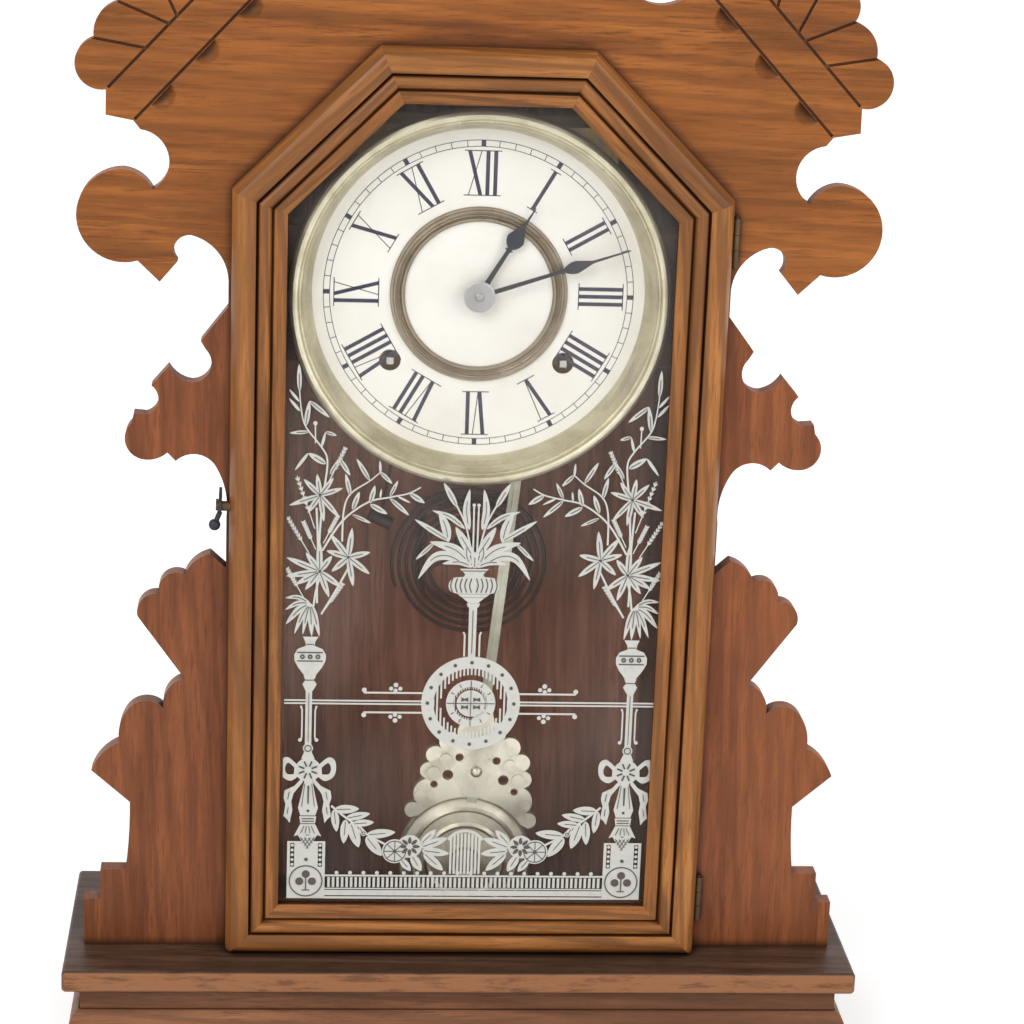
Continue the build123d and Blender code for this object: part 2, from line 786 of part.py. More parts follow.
def dial_bezel():
    """The stamped ring round the dial: an outer bead, a step and a deep cone down to the dial."""
    r = bezel_radius
    front = bezel_front
    rear = bezel_rear
    inner = dial_white_radius
    profile = [(r, rear), (r, front + 2.6), (r - 0.6, front + 1.1), (r - 1.9, front + 0.2), (r - 3.0, front),
               (r - 4.0, front + 0.4), (r - 4.6, front + 1.4), (r - 4.9, front + 2.3), (r - 5.4, front + 2.3),
               (r - 5.9, front + 1.9), (r - 6.3, front + 2.6), (inner + 3.0, rear - 2.0),
               (inner + 1.3, rear + 1.2), (inner + 0.5, dial_front - 2.4), (inner, dial_front - 0.02),
               (inner + 2.1, dial_front - 0.02), (inner + 2.1, rear + 1.2), (inner + 3.3, rear + 1.2),
               (inner + 3.3, rear), (inner + 3.3 + bezel_sheet, rear), (inner + 3.3 + bezel_sheet, rear - 2.5),
               (r - 5.2, front + 3.4), (r - bezel_sheet, front + 3.4), (r - bezel_sheet, rear)]
    return ring_y(profile, centre_place)


def dial_ring():
    """The moulded brass ring inside the numerals."""
    o = dial_ring_outer
    i = dial_ring_inner
    y = dial_front
    profile = [(o, y), (o, y - 0.5), (o - 0.4, y - 1.1), (o - 1.2, y - 1.3), (o - 1.8, y - 0.7),
               (o - 2.4, y - 0.6), (o - 3.0, y - 1.1), (o - 3.6, y - 0.6), (o - 4.2, y - 1.1),
               (o - 4.8, y - 0.6), (i + 1.5, y - 1.4), (i + 0.8, y - 1.5), (i + 0.1, y - 0.8), (i, y)]
    return ring_y(profile, centre_place)


def hand_outline(length, spade, half_width, half_length, stem):
    """A spade hand pointing up from the origin, with a collar under its leaf."""
    foot = spade - half_length
    right = [(stem, 0.0), (stem * 0.7, foot - 1.4), (stem * 1.6, foot - 0.7), (stem * 0.7, foot)]
    leaf = [(half_width * 0.8, spade - half_length * 0.55), (half_width, spade)]
    tip = [(half_width * 0.62, spade + half_length * 0.6), (0.6, spade + half_length * 1.25)]
    steps = right + [tuple(leaf), tuple(tip), (0.28, length), (-0.28, length), (-tip[1][0], tip[1][1])]
    steps += [((-tip[0][0], tip[0][1]), (-leaf[1][0], leaf[1][1]))]
    steps += [((-leaf[0][0], leaf[0][1]), (-right[3][0], right[3][1]))]
    return outline(steps + [(-x, z) for x, z in right[2::-1]])


def hand(blade, y, boss, bore):
    """A flat hand with a round boss, before it is turned to the time."""
    flat = slab(blade, y, y + hand_thickness)
    flat += rod_y((0, 0), boss, y, y + hand_thickness)
    flat += rod_y((0, 0), boss - 1.2, y - 0.5, y + hand_thickness + 0.8)
    return Pos(0, 0, dial_height) * (flat - rod_y((0, 0), bore, y - 5, y + 5))


def hour_hand():
    """The hour hand, pressed on the hour pipe."""
    blade = hand_outline(hour_hand_length, 31.0, 4.2, 5.4, 1.3)
    return spin(hand(blade, hour_hand_y, 5.6, 3.0), centre_place, hour_hand_angle)


def minute_hand():
    """The minute hand on the centre arbor's end."""
    blade = hand_outline(minute_hand_length, 46.5, 2.9, 6.2, 1.1)
    return spin(hand(blade, minute_hand_y, 4.6, 1.2), centre_place, minute_hand_angle)


# Wheels

def toothed(teeth, tip, root, place, phase, y0, y1):
    """A plain toothed disc. The phase is the angle of one tooth."""
    points = []
    step = 360.0 / teeth
    for index in range(teeth):
        points.append(turned(place, tip, phase + index * step))
        points.append(turned(place, root, phase + (index + 0.5) * step))
    face = make_face(Polyline([(x, 0, z) for x, z in points], close=True))
    return slab(face, y0, y1)


def wheel(teeth, module, place, phase, y0, spokes=True, thickness=wheel_thickness):
    """A wheel with its rim and four crossings."""
    radius = teeth * module / 2
    disc = toothed(teeth, radius + 0.75 * module, radius - 1.2 * module, place, phase, y0, y0 + thickness)
    if not spokes:
        return disc
    rim = radius - 1.2 * module - 2.4
    hub = max(5.0, radius * 0.24)
    for quarter in range(4):
        start = phase + quarter * 90.0
        gap = degrees(1.3 / rim)
        inner_gap = degrees(1.3 / hub)
        a = turned(place, hub, start + inner_gap)
        b = turned(place, rim, start + gap)
        b_mid = turned(place, rim, start + 45.0)
        c = turned(place, rim, start + 90.0 - gap)
        d = turned(place, hub, start + 90.0 - inner_gap)
        a_mid = turned(place, hub, start + 45.0)
        disc -= slab(outline([a, b, (b_mid, c), d, (a_mid, a)]), y0 - 1, y0 + thickness + 1)
    return disc


def pinion(teeth, module, place, phase, y0, y1):
    """A small pinion cut on an arbor."""
    radius = teeth * module / 2
    return toothed(teeth, radius + 0.55 * module, radius - 1.1 * module, place, phase, y0, y1)


def arbor(place, y0, y1, radius=arbor_radius):
    """A plain arbor."""
    return rod_y(place, radius, y0, y1)


def between(a, b):
    """The distance between two places."""
    return hypot(b[0] - a[0], b[1] - a[1])


def second_place():
    """Where the second arbor meets both the great wheel and the centre pinion."""
    reach = (great_teeth + pinion_teeth) * great_module / 2
    span = between(centre_place, winding_place)
    rise = sqrt(reach * reach - span * span / 4)
    middle = turned(centre_place, span / 2, bearing(centre_place, winding_place))
    return turned(middle, rise, bearing(centre_place, winding_place) - 90.0)


def pair_module(a, b, teeth):
    """The module that brings two wheels with that many teeth together."""
    return 2 * between(a, b) / teeth


strike_great_place = (-winding_place[0], winding_place[1])
strike_second_place = turned(strike_great_place, (great_teeth + pinion_teeth) * great_module / 2, strike_second_angle)
strike_fly_place = turned(strike_second_place, (strike_second_teeth + pinion_teeth) * strike_second_module / 2,
                          strike_fly_angle)
great_y = 8.0
centre_wheel_y = 11.5
third_wheel_y = 17.0
second_wheel_y = 32.5
escape_y = -1.8
hour_wheel_y = -1.6
minute_wheel_y = 1.0
plate_rear = back_plate_y + plate_thickness
crutch_front = escape_y - 1.2
crutch_rear = escape_y - 0.4


def time_great_wheel():
    """The time side's great wheel, free on its winding arbor, with its click."""
    phase = bearing(winding_place, second_place())
    disc = wheel(great_teeth, great_module, winding_place, phase, great_y, thickness=great_wheel_thickness)
    click_at = turned(winding_place, 12.6, phase + 45.0)
    tip = turned(winding_place, 10.4, phase + 20.0)
    lever = rod_y(click_at, 1.8, great_y - 1.6, great_y)
    lever += slab(outline([turned(click_at, 1.5, phase + 135.0), turned(click_at, 1.5, phase - 45.0), tip]),
                  great_y - 1.6, great_y)
    disc += rod_y(winding_place, 14.6, great_y, great_y + great_wheel_thickness)
    disc += lever
    return disc - rod_y(winding_place, winding_arbor_radius + arbor_fit, great_y - 5, great_y + 5)


def winding_arbor():
    """The time side's winding arbor: square end, ratchet and spring hub."""
    body = rod_y(winding_place, winding_arbor_radius, 0.0, plate_rear + 1.0)
    half = winding_square / 2
    x, z = winding_place
    body += box(x - half, x + half, dial_front - 1.5, 0.0, z - half, z + half)
    body += toothed(14, 9.2, 7.4, winding_place, 0.0, plate_inner_front + 0.3, great_y - 0.3)
    hub_front = great_y + great_wheel_thickness + 0.3
    return body + rod_y(winding_place, spring_hub_radius, hub_front, spring_front + spring_width + 0.5)


def spring_spiral(place, start_radius, pitch, halves, turn):
    """The half-turn arcs of a flat spiral, with the end point and its direction."""
    edges = []
    for index in range(halves):
        radius = start_radius + index * pitch / 2
        shift = 0.0 if index % 2 == 0 else pitch / 2
        start = 0.0 if index % 2 == 0 else 180.0
        points = []
        for angle in (start, start + 90.0, start + 180.0):
            x = shift + radius * cos(radians(angle))
            z = radius * sin(radians(angle))
            length = hypot(x, z)
            points.append(turned(place, length, degrees(atan2(z, x)) + turn))
        edges.append(ThreePointArc(*[Vector(x, 0, z) for x, z in points]))
    return edges


def spiral_gap(edges, width):
    """The least gap between one turn of a spiral and any other, from points on it."""
    points = []
    for edge in edges:
        points += [edge @ (k / 24) for k in range(24)]
    least = 1e9
    for first in range(0, len(points), 3):
        for second in range(first + 30, len(points)):
            least = min(least, (points[first] - points[second]).length)
    return least - width


def mainspring():
    """The time side's mainspring, its outer end hooked at the lower pillar."""
    halves = 2 * spring_turns
    last = spring_start_radius + (halves - 1) * spring_pitch / 2
    pillar = lower_pillar
    reach = between(winding_place, pillar)
    side = degrees(atan2(sqrt(reach * reach - last * last), last))
    turn = bearing(winding_place, pillar) - side
    edges = spring_spiral(winding_place, spring_start_radius, spring_pitch, halves, turn)
    print("mainspring least gap", round(spiral_gap(edges, spring_thickness), 2))
    end = edges[-1] @ 1
    direction = edges[-1] % 1
    to_pillar = Vector(pillar[0], 0, pillar[1]) - end
    run = to_pillar.dot(direction) - pillar_radius - 0.3
    edges.append(Line(end, end + direction * run))
    path = Wire(edges)
    start = path @ 0
    plane = Plane(origin=start, z_dir=path % 0, x_dir=(0, 1, 0))
    section = plane * Rectangle(spring_width, spring_thickness)
    return Pos(0, spring_front + spring_width / 2, 0) * sweep(section, path=path)


def centre_arbor():
    """The centre arbor with its wheel, its pinion, the cannon pinion and a pin end."""
    second = second_place()
    module = pair_module(centre_place, second, second_teeth + pinion_teeth)
    to_second = bearing(centre_place, second)
    body = arbor(centre_place, minute_hand_y - 1.6, plate_rear + 0.8)
    body += pinion(pinion_teeth, module, centre_place, to_second + 180.0 / pinion_teeth, second_wheel_y - 0.5,
                   second_wheel_y + 2.0)
    to_third = bearing(centre_place, third_place)
    module = pair_module(centre_place, third_place, centre_teeth + pinion_teeth)
    body += wheel(centre_teeth, module, centre_place, to_third, centre_wheel_y)
    module = 2 * motion_distance / (cannon_teeth + minute_wheel_teeth)
    body += pinion(cannon_teeth, module, centre_place, motion_angle, minute_wheel_y - 0.5, minute_wheel_y + 1.9)
    return body


def second_wheel():
    """The second arbor between the great wheel and the centre."""
    place = second_place()
    to_great = bearing(place, winding_place)
    to_centre = bearing(place, centre_place)
    module = pair_module(centre_place, place, second_teeth + pinion_teeth)
    body = arbor(place, front_plate_y + 0.1, plate_rear)
    body += pinion(pinion_teeth, great_module, place, to_great + 180.0 / pinion_teeth, great_y - 0.6,
                   great_y + great_wheel_thickness + 0.6)
    return body + wheel(second_teeth, module, place, to_centre, second_wheel_y)


def third_wheel():
    """The third arbor between the centre wheel and the escape pinion."""
    to_centre = bearing(third_place, centre_place)
    to_escape = bearing(third_place, escape_place)
    module = pair_module(centre_place, third_place, centre_teeth + pinion_teeth)
    body = arbor(third_place, front_plate_y + 0.1, plate_rear)
    body += pinion(pinion_teeth, module, third_place, to_centre + 180.0 / pinion_teeth, centre_wheel_y - 0.6,
                   centre_wheel_y + 1.8)
    module = pair_module(third_place, escape_place, third_teeth + escape_pinion_teeth)
    return body + wheel(third_teeth, module, third_place, to_escape, third_wheel_y)


def escape_wheel():
    """The escape wheel in front of the front plate, on its long arbor."""
    module = pair_module(third_place, escape_place, third_teeth + escape_pinion_teeth)
    to_third = bearing(escape_place, third_place)
    body = arbor(escape_place, escape_y - 0.2, plate_rear, 1.0)
    body += pinion(escape_pinion_teeth, module, escape_place, to_third + 180.0 / escape_pinion_teeth,
                   third_wheel_y - 0.6, third_wheel_y + 1.8)
    points = []
    step = 360.0 / escape_teeth
    for index in range(escape_teeth):
        points.append(turned(escape_place, escape_radius, 90.0 + index * step))
        points.append(turned(escape_place, escape_radius - 1.9, 90.0 + (index + 0.35) * step))
    disc = slab(make_face(Polyline([(x, 0, z) for x, z in points], close=True)), escape_y, escape_y + 1.2)
    for quarter in range(4):
        hole = turned(escape_place, 6.6, 45.0 + quarter * 90.0)
        disc -= rod_y(hole, 2.7, escape_y - 1, escape_y + 3)
    return body + disc


def minute_wheel():
    """The motion wheel driven by the cannon pinion, on a stud of the front plate."""
    place = turned(centre_place, motion_distance, motion_angle)
    module = 2 * motion_distance / (cannon_teeth + minute_wheel_teeth)
    step = 360.0 / minute_wheel_teeth
    body = wheel(minute_wheel_teeth, module, place, motion_angle + 180.0 + step / 2, minute_wheel_y, False)
    module = 2 * motion_distance / (minute_pinion_teeth + hour_wheel_teeth)
    body += pinion(minute_pinion_teeth, module, place, motion_angle + 180.0, hour_wheel_y - 0.6, minute_wheel_y)
    return body - rod_y(place, 1.1 + arbor_fit, -5, 5)


def hour_wheel():
    """The hour wheel and its pipe, free on the centre arbor."""
    module = 2 * motion_distance / (minute_pinion_teeth + hour_wheel_teeth)
    step = 360.0 / hour_wheel_teeth
    body = wheel(hour_wheel_teeth, module, centre_place, motion_angle + step / 2, hour_wheel_y)
    body += rod_y(centre_place, 3.0, hour_hand_y - 0.3, hour_wheel_y + wheel_thickness)
    return body - rod_y(centre_place, arbor_radius + arbor_fit, hour_hand_y - 5, hour_wheel_y + 5)


def strike_second_wheel():
    """The strike side's second arbor with its wheel."""
    to_great = bearing(strike_second_place, strike_great_place)
    to_fly = bearing(strike_second_place, strike_fly_place)
    body = arbor(strike_second_place, front_plate_y + 0.1, plate_rear)
    body += pinion(pinion_teeth, great_module, strike_second_place, to_great + 180.0 / pinion_teeth, great_y - 0.6,
                   great_y + great_wheel_thickness + 0.6)
    return body + wheel(strike_second_teeth, strike_second_module, strike_second_place, to_fly, second_wheel_y)


def strike_fly():
    """The fly that steadies the strike."""
    to_second = bearing(strike_fly_place, strike_second_place)
    body = arbor(strike_fly_place, front_plate_y + 0.1, plate_rear, 1.0)
    body += pinion(pinion_teeth, strike_second_module, strike_fly_place, to_second + 180.0 / pinion_teeth,
                   second_wheel_y - 0.5, second_wheel_y + 1.8)
    x, z = strike_fly_place
    vane = box(x - 11, x + 11, 15.0, 29.0, z - 0.3, z + 0.3)
    return body + vane + rod_y(strike_fly_place, 1.9, 18.0, 26.0)


def strike_great_wheel():
    """The strike side's great wheel, with a tooth set for its own pinion."""
    base = mirrored(time_great_wheel())
    phase = 180.0 - bearing(winding_place, second_place())
    wanted = bearing(strike_great_place, strike_second_place)
    return spin(base, strike_great_place, -(wanted - phase))


# Plates and pillars

def pillar_places():
    """The four pillars."""
    lower = lower_pillar
    upper = upper_pillar
    return [lower, (-lower[0], lower[1]), upper, (-upper[0], upper[1])]


def pillars(places):
    """Turned pillars that hold the plates apart and stand the movement off the back board."""
    group = []
    for place in places:
        post = rod_y(place, pillar_radius, plate_inner_front, back_plate_y)
        post += rod_y(place, pillar_pivot_radius, front_plate_y - 1.2, case_back_inner)
        post += rod_y(place, pillar_radius + 0.8, plate_rear, case_back_inner)
        group.append(post)
    return Compound(children=group)


def plate(y0):
    """A brass plate with its windows and pivot holes."""
    body = box(-plate_half_width, plate_half_width, y0, y0 + plate_thickness, plate_bottom, plate_top)
    for place in pillar_places():
        body -= rod_y(place, pillar_pivot_radius, y0 - 1, y0 + 5)
    for side in (-1, 1):
        place = (side * winding_place[0], winding_place[1])
        body -= rod_y(place, winding_arbor_radius + arbor_fit, y0 - 1, y0 + 5)
    for place in (centre_place, second_place(), third_place, strike_second_place):
        body -= rod_y(place, arbor_radius + arbor_fit, y0 - 1, y0 + 5)
    for place in (escape_place, strike_fly_place):
        body -= rod_y(place, 1.0 + arbor_fit, y0 - 1, y0 + 5)
    body -= rod_y(hammer_pivot, arbor_radius + arbor_fit, y0 - 1, y0 + 5)
    body -= box(-22, -4, y0 - 1, y0 + 5, plate_bottom + 8, plate_bottom + 24)
    body -= box(22, 30, y0 - 1, y0 + 5, plate_bottom - 1, plate_bottom + 8)
    return body


def front_plate():
    """The front plate with the suspension stud and the motion-work stud."""
    body = plate(front_plate_y)
    body -= rod_y(pendulum_pivot, arbor_radius + arbor_fit, front_plate_y - 1, front_plate_y + 5)
    stud_at = (pendulum_pivot[0], pendulum_pivot[1] + 8.0)
    stud = rod_y(stud_at, 3.2, pendulum_y - 2.5, front_plate_y)
    stud -= box(stud_at[0] - suspension_slot / 2, stud_at[0] + suspension_slot / 2, pendulum_y - 3,
                pendulum_y + 2.0, stud_at[1] - 4, stud_at[1] - 0.5)
    motion_at = turned(centre_place, motion_distance, motion_angle)
    return body + stud + rod_y(motion_at, 1.1, hour_wheel_y - 1.0, front_plate_y)


def back_plate():
    """The back plate."""
    body = plate(back_plate_y)
    return body


# Escapement and pendulum

def verge():
    """The bent strip with two pallets, its arbor and the crutch fork."""
    px, pz = pendulum_pivot
    body = rod_y(pendulum_pivot, arbor_radius, crutch_front, plate_inner_front)
    body += rod_y(pendulum_pivot, 3.0, escape_y, escape_y + 1.2)
    reach = escape_radius + pallet_clearance
    left_tip = turned(escape_place, reach, 138.0)
    right_tip = turned(escape_place, reach, 42.0)
    strap = [(px - 12.6, pz - 9.5), ((px - 8.6, pz - 1.0), (px, pz + 2.0)), ((px + 8.6, pz - 1.0), (px + 12.6, pz - 9.5))]
    strap += [(right_tip[0] + 0.4, right_tip[1] - 0.5), right_tip, (px + 9.6, pz - 9.0)]
    strap += [((px + 6.6, pz - 3.4), (px, pz - 1.4)), ((px - 6.6, pz - 3.4), (px - 9.6, pz - 9.0))]
    strap += [left_tip, (left_tip[0] - 0.4, left_tip[1] - 0.5)]
    body += slab(outline(strap), escape_y, escape_y + 1.2)
    crutch = box(px - 0.5, px + 0.5, crutch_front, crutch_rear, pz - 34.0, pz)
    fork = box(px - 2.2, px + 2.2, crutch_front, crutch_rear, pz - 35.0, pz - 34.0)
    for side in (-1, 1):
        prong = box(px + side * 1.2, px + side * 2.2, pendulum_y - 1.6, crutch_rear, pz - 35.0, pz - 34.0)
        fork += prong
    lean = leader_angle()
    return body + spin(crutch + fork, pendulum_pivot, lean)


def hook_point():
    """Where the leader wire carries the flat rod."""
    rise = pendulum_hook_height - bob_centre[1]
    return (bob_centre[0] + rise * tan(radians(pendulum_lean)), pendulum_hook_height)


def leader_angle():
    """The leader's lean to the right going down, as a clockwise turn seen from the front."""
    hook = hook_point()
    return -degrees(atan2(hook[0] - pendulum_pivot[0], pendulum_pivot[1] - hook[1]))


def pendulum_rod():
    """The suspension spring, the leader wire and the flat rod hooked under it."""
    px, pz = pendulum_pivot
    hook = hook_point()
    length = between(pendulum_pivot, hook)
    upper = box(px - 0.2, px + 0.2, pendulum_y - 1.4, pendulum_y + 1.4, pz - 8.0, pz + 6.0)
    upper += rod_z(px, pendulum_y, leader_radius, pz - length, pz - 7.0)
    upper = spin(upper, pendulum_pivot, leader_angle())
    rise = between(hook, bob_centre)
    half = pendulum_strip_width / 2
    t = pendulum_strip_thickness / 2
    bx, bz = bob_centre
    strip = box(bx - half, bx + half, pendulum_y - t, pendulum_y + t, bz - 6.0, bz + rise + 1.5)
    strip += box(bx - 0.45, bx + 0.45, pendulum_y - t - 0.4, pendulum_y - t, bz + 30.0, bz + rise)
    return upper + spin(strip, bob_centre, pendulum_lean)


def ornament_half():
    """The right half of the cast crest that stands on the bob."""
    x, z = bob_centre
    seat = bob_radius
    low = turned(bob_centre, seat, 40.0)
    mid = turned(bob_centre, seat, 65.0)
    top = (x, z + seat)
    steps = [top, (mid, low), (low[0] + 3.5, low[1] - 1.5), ((low[0] + 7.0, low[1] + 3.5), (low[0] + 1.5, low[1] + 6.0))]
    steps += [((x + 27.5, z + 37.0), (x + 23.5, z + 40.0)), ((x + 27.0, z + 45.0), (x + 22.5, z + 48.5))]
    steps += [((x + 25.0, z + 54.0), (x + 18.0, z + 56.0)), ((x + 18.5, z + 63.0), (x + 11.0, z + 63.5))]
    steps += [((x + 10.5, z + 69.5), (x + 5.5, z + 72.0)), (x + 4.0, z + 77.0), (x, z + 78.5)]
    return steps


def pendulum_ornament():
    """The cast crest between the rod and the bob, clasped round the rod."""
    front = pendulum_y - pendulum_strip_thickness / 2 - 2.4
    half = slab(outline(ornament_half()), front, front + 2.4 + pendulum_strip_thickness)
    x, z = bob_centre
    for hole_x, hole_z, radius in ((13.5, 43.0, 2.6), (19.5, 37.5, 1.8), (9.0, 52.5, 2.0)):
        half -= rod_y((x + hole_x, z + hole_z), radius, front - 1, front + 6)
    for scroll_x, scroll_z, radius in ((20.5, 43.5, 3.2), (15.5, 51.0, 2.8), (25.5, 31.0, 2.6)):
        half += rod_y((x + scroll_x, z + scroll_z), radius, front - 0.8, front)
    other = Pos(2 * x, 0, 0) * mirrored(half)
    crest = half + other
    crest += Pos(x, front + 0.6, z + 46.0) * Sphere(3.0)
    crest += Pos(x, front + 0.6, z + 60.0) * Sphere(2.4)
    w = pendulum_strip_width / 2
    t = pendulum_strip_thickness / 2
    crest -= box(x - w, x + w, pendulum_y - t, pendulum_y + t + 5, z + 20, z + 90)
    crest -= box(x - 0.45, x + 0.45, pendulum_y - t - 0.4, pendulum_y + t, z + 20, z + 90)
    return spin(crest, bob_centre, pendulum_lean)


def pendulum_bob():
    """The round bob with stepped rings, slotted for the rod."""
    r = bob_radius
    back = pendulum_y + bob_thickness / 2 - 1.0
    front = back - bob_thickness
    edge = back - bob_edge_thickness
    profile = [(0.0, back), (0.0, front + 0.6), (6.0, front + 0.6), (7.5, front), (10.0, front + 0.4),
               (17.0, front + 1.0), (18.4, front + 0.2), (19.8, front + 1.4), (24.4, front + 2.8),
               (25.6, front + 2.2), (26.8, front + 3.4), (r - 2.0, edge - 0.6), (r - 1.0, edge - 1.2),
               (r, edge - 0.2), (r, back - 0.6), (r - 1.0, back)]
    disc = ring_y(profile, bob_centre)
    x, z = bob_centre
    w = pendulum_strip_width / 2
    t = pendulum_strip_thickness / 2
    slot = box(x - w, x + w, pendulum_y - t, pendulum_y + t, z - 6.0, z + r + 5)
    slot += box(x - 0.45, x + 0.45, pendulum_y - t - 0.4, pendulum_y - t, z + 30.0, z + r + 5)
    disc -= slot
    return spin(disc, bob_centre, pendulum_lean)


# Strike

def gong_coil():
    """The flat coil gong, with its inner end led to the post."""
    halves = 2 * gong_turns
    start = gong_outer_radius - gong_wire_radius - (halves - 1) * gong_pitch / 2
    edges = spring_spiral(gong_centre, start, gong_pitch, halves, gong_lead_angle)
    print("gong least gap", round(spiral_gap(edges, 2 * gong_wire_radius), 2))
    begin = edges[0] @ 0
    inwards = edges[0] % 0
    centre = Vector(gong_centre[0], 0, gong_centre[1])
    radial = (centre - begin).normalized()
    bend = 4.0
    corner = begin + radial * bend - inwards * bend
    middle = begin + radial * bend * (1 - sqrt(0.5)) - inwards * bend * sqrt(0.5)
    lead_end = corner + radial * ((centre - corner).dot(radial) - 0.5)
    lead = [Line(lead_end, corner), ThreePointArc(corner, middle, begin)]
    path = Wire(lead + edges)
    plane = Plane(origin=path @ 0, z_dir=path % 0, x_dir=(0, 1, 0))
    wire = sweep(plane * Circle(gong_wire_radius), path=path)
    return Pos(0, gong_y, 0) * wire


def gong_post_place():
    """The post stands where the coil's inner end is led."""
    halves = 2 * gong_turns
    start = gong_outer_radius - gong_wire_radius - (halves - 1) * gong_pitch / 2
    begin = turned(gong_centre, start, gong_lead_angle)
    bent = turned(begin, 4.0, gong_lead_angle - 90.0)
    return turned(bent, start - 0.5, gong_lead_angle + 180.0)


def gong_block():
    """The wooden block on the back board, with the iron post that holds the coil."""
    half = gong_block_size / 2
    place = gong_post_place()
    block = box(place[0] - half, place[0] + half, case_back_inner - gong_block_thickness, case_back_inner,
                place[1] - half, place[1] + half)
    block = chamfer(block.edges().filter_by(Axis.Z).group_by(Axis.Y)[0], 2.0)
    return block


def gong_post():
    """The iron post, cross drilled for the coil's end."""
    place = gong_post_place()
    bore = gong_wire_radius + gong_post_fit
    post = rod_y(place, gong_post_radius, gong_y - 3.0, case_back_inner - gong_block_thickness)
    post += rod_y(place, gong_post_radius + 4.0, case_back_inner - gong_block_thickness - 2.0,
                  case_back_inner - gong_block_thickness)
    lead = Plane(origin=(place[0], gong_y, place[1]), z_dir=(cos(radians(gong_lead_angle)), 0,
                                                            sin(radians(gong_lead_angle))))
    return post - lead * Cylinder(bore, 2 * (gong_post_radius + 1))


def hammer():
    """The strike hammer with its arbor, wire rod and brass head."""
    body = arbor(hammer_pivot, front_plate_y + 0.1, plate_rear)
    aim = bearing(hammer_head, gong_centre)
    head_plane = Plane(origin=(hammer_head[0], hammer_y, hammer_head[1]),
                       z_dir=(cos(radians(aim)), 0, sin(radians(aim))))
    head = Solid.extrude(Face(Wire([Edge.make_circle(hammer_head_radius, head_plane)])),
                         head_plane.z_dir * (hammer_head_length / 2))
    rear = Solid.extrude(Face(Wire([Edge.make_circle(hammer_head_radius, head_plane)])),
                         head_plane.z_dir * (-hammer_head_length / 2))
    length = between(hammer_pivot, hammer_head)
    lean = degrees(atan2(hammer_pivot[0] - hammer_head[0], hammer_pivot[1] - hammer_head[1]))
    rod = rod_z(hammer_pivot[0], hammer_y, hammer_rod_radius, hammer_pivot[1] - length, hammer_pivot[1])
    boss = rod_y(hammer_pivot, 2.6, hammer_y - 2.0, hammer_y + 2.0)
    tail = slab(outline([(hammer_pivot[0] - 1.0, hammer_pivot[1]), (hammer_pivot[0] + 1.0, hammer_pivot[1]),
                         (hammer_pivot[0] + 0.6, hammer_pivot[1] + 6.0), (hammer_pivot[0] - 0.6, hammer_pivot[1] + 6.0)]),
                hammer_y - 0.6, hammer_y + 0.6)
    return body + boss + tail + spin(rod, hammer_pivot, lean) + head + rear


def main():
    """Build every node and write it."""
    os.makedirs("parts", exist_ok=True)
    rails = ["door_left_corner_rail", "door_left_stile", "door_bottom_rail", "door_right_stile",
             "door_right_corner_rail", "door_top_rail"]
    export("crown_board", crown_board())
    export("left_wing", left_wing())
    export("right_wing", right_wing())
    export("lower_rail", lower_rail())
    export("case_right_side", case_right_side())
    export("case_left_side", mirrored(case_right_side()))
    export("case_roof", case_roof())
    export("back_board", back_board())
    export("dial_blocks", Compound(children=[dial_block(), mirrored(dial_block())]))
    export("base_top", base_top())
    export("base_front", base_front())
    export("base_right_side", base_right_side())
    export("base_left_side", mirrored(base_right_side()))
    export("base_back", base_back())
    export("base_blocks", base_blocks())
    for index, name in enumerate(rails):
        rail = door_rail(index)
        if name == "door_right_stile":
            for middle in hinge_middles():
                rail -= hinge_gain(middle)
        if name == "door_left_stile":
            rail -= latch_screw()
        export(name, rail)
    export("door_glass", door_glass())
    export("glass_beads", glass_beads())
    for name, middle in zip(("lower", "upper"), hinge_middles()):
        export(name + "_door_leaf", door_leaf(middle))
        export(name + "_case_leaf", case_leaf(middle))
    export("latch_hook", latch_hook())
    export("latch_screw", latch_screw())
    export("latch_pin", latch_pin())
    export("dial_pan", dial_pan())
    export("dial_bezel", dial_bezel())
    export("dial_ring", dial_ring())
    export("hour_hand", hour_hand())
    export("minute_hand", minute_hand())
    export("front_plate", front_plate())
    export("back_plate", back_plate())
    export("pillars", pillars(pillar_places()))
    export("centre_arbor", centre_arbor())
    export("second_wheel", second_wheel())
    export("third_wheel", third_wheel())
    export("escape_wheel", escape_wheel())
    export("hour_wheel", hour_wheel())
    export("minute_wheel", minute_wheel())
    export("time_great_wheel", time_great_wheel())
    export("time_winding_arbor", winding_arbor())
    spring = mainspring()
    export("time_mainspring", spring)
    export("strike_great_wheel", strike_great_wheel())
    export("strike_winding_arbor", mirrored(winding_arbor()))
    export("strike_mainspring", mirrored(spring))
    export("strike_second_wheel", strike_second_wheel())
    export("strike_fly", strike_fly())
    export("verge", verge())
    export("pendulum_rod", pendulum_rod())
    export("pendulum_ornament", pendulum_ornament())
    export("pendulum_bob", pendulum_bob())
    export("gong_coil", gong_coil())
    export("gong_block", gong_block())
    export("gong_post", gong_post())
    export("hammer", hammer())


main()
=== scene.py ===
import bpy
import bmesh
from math import cos, hypot, pi, radians, sin, sqrt
from mathutils import Matrix, Vector
from mathutils.geometry import tessellate_polygon


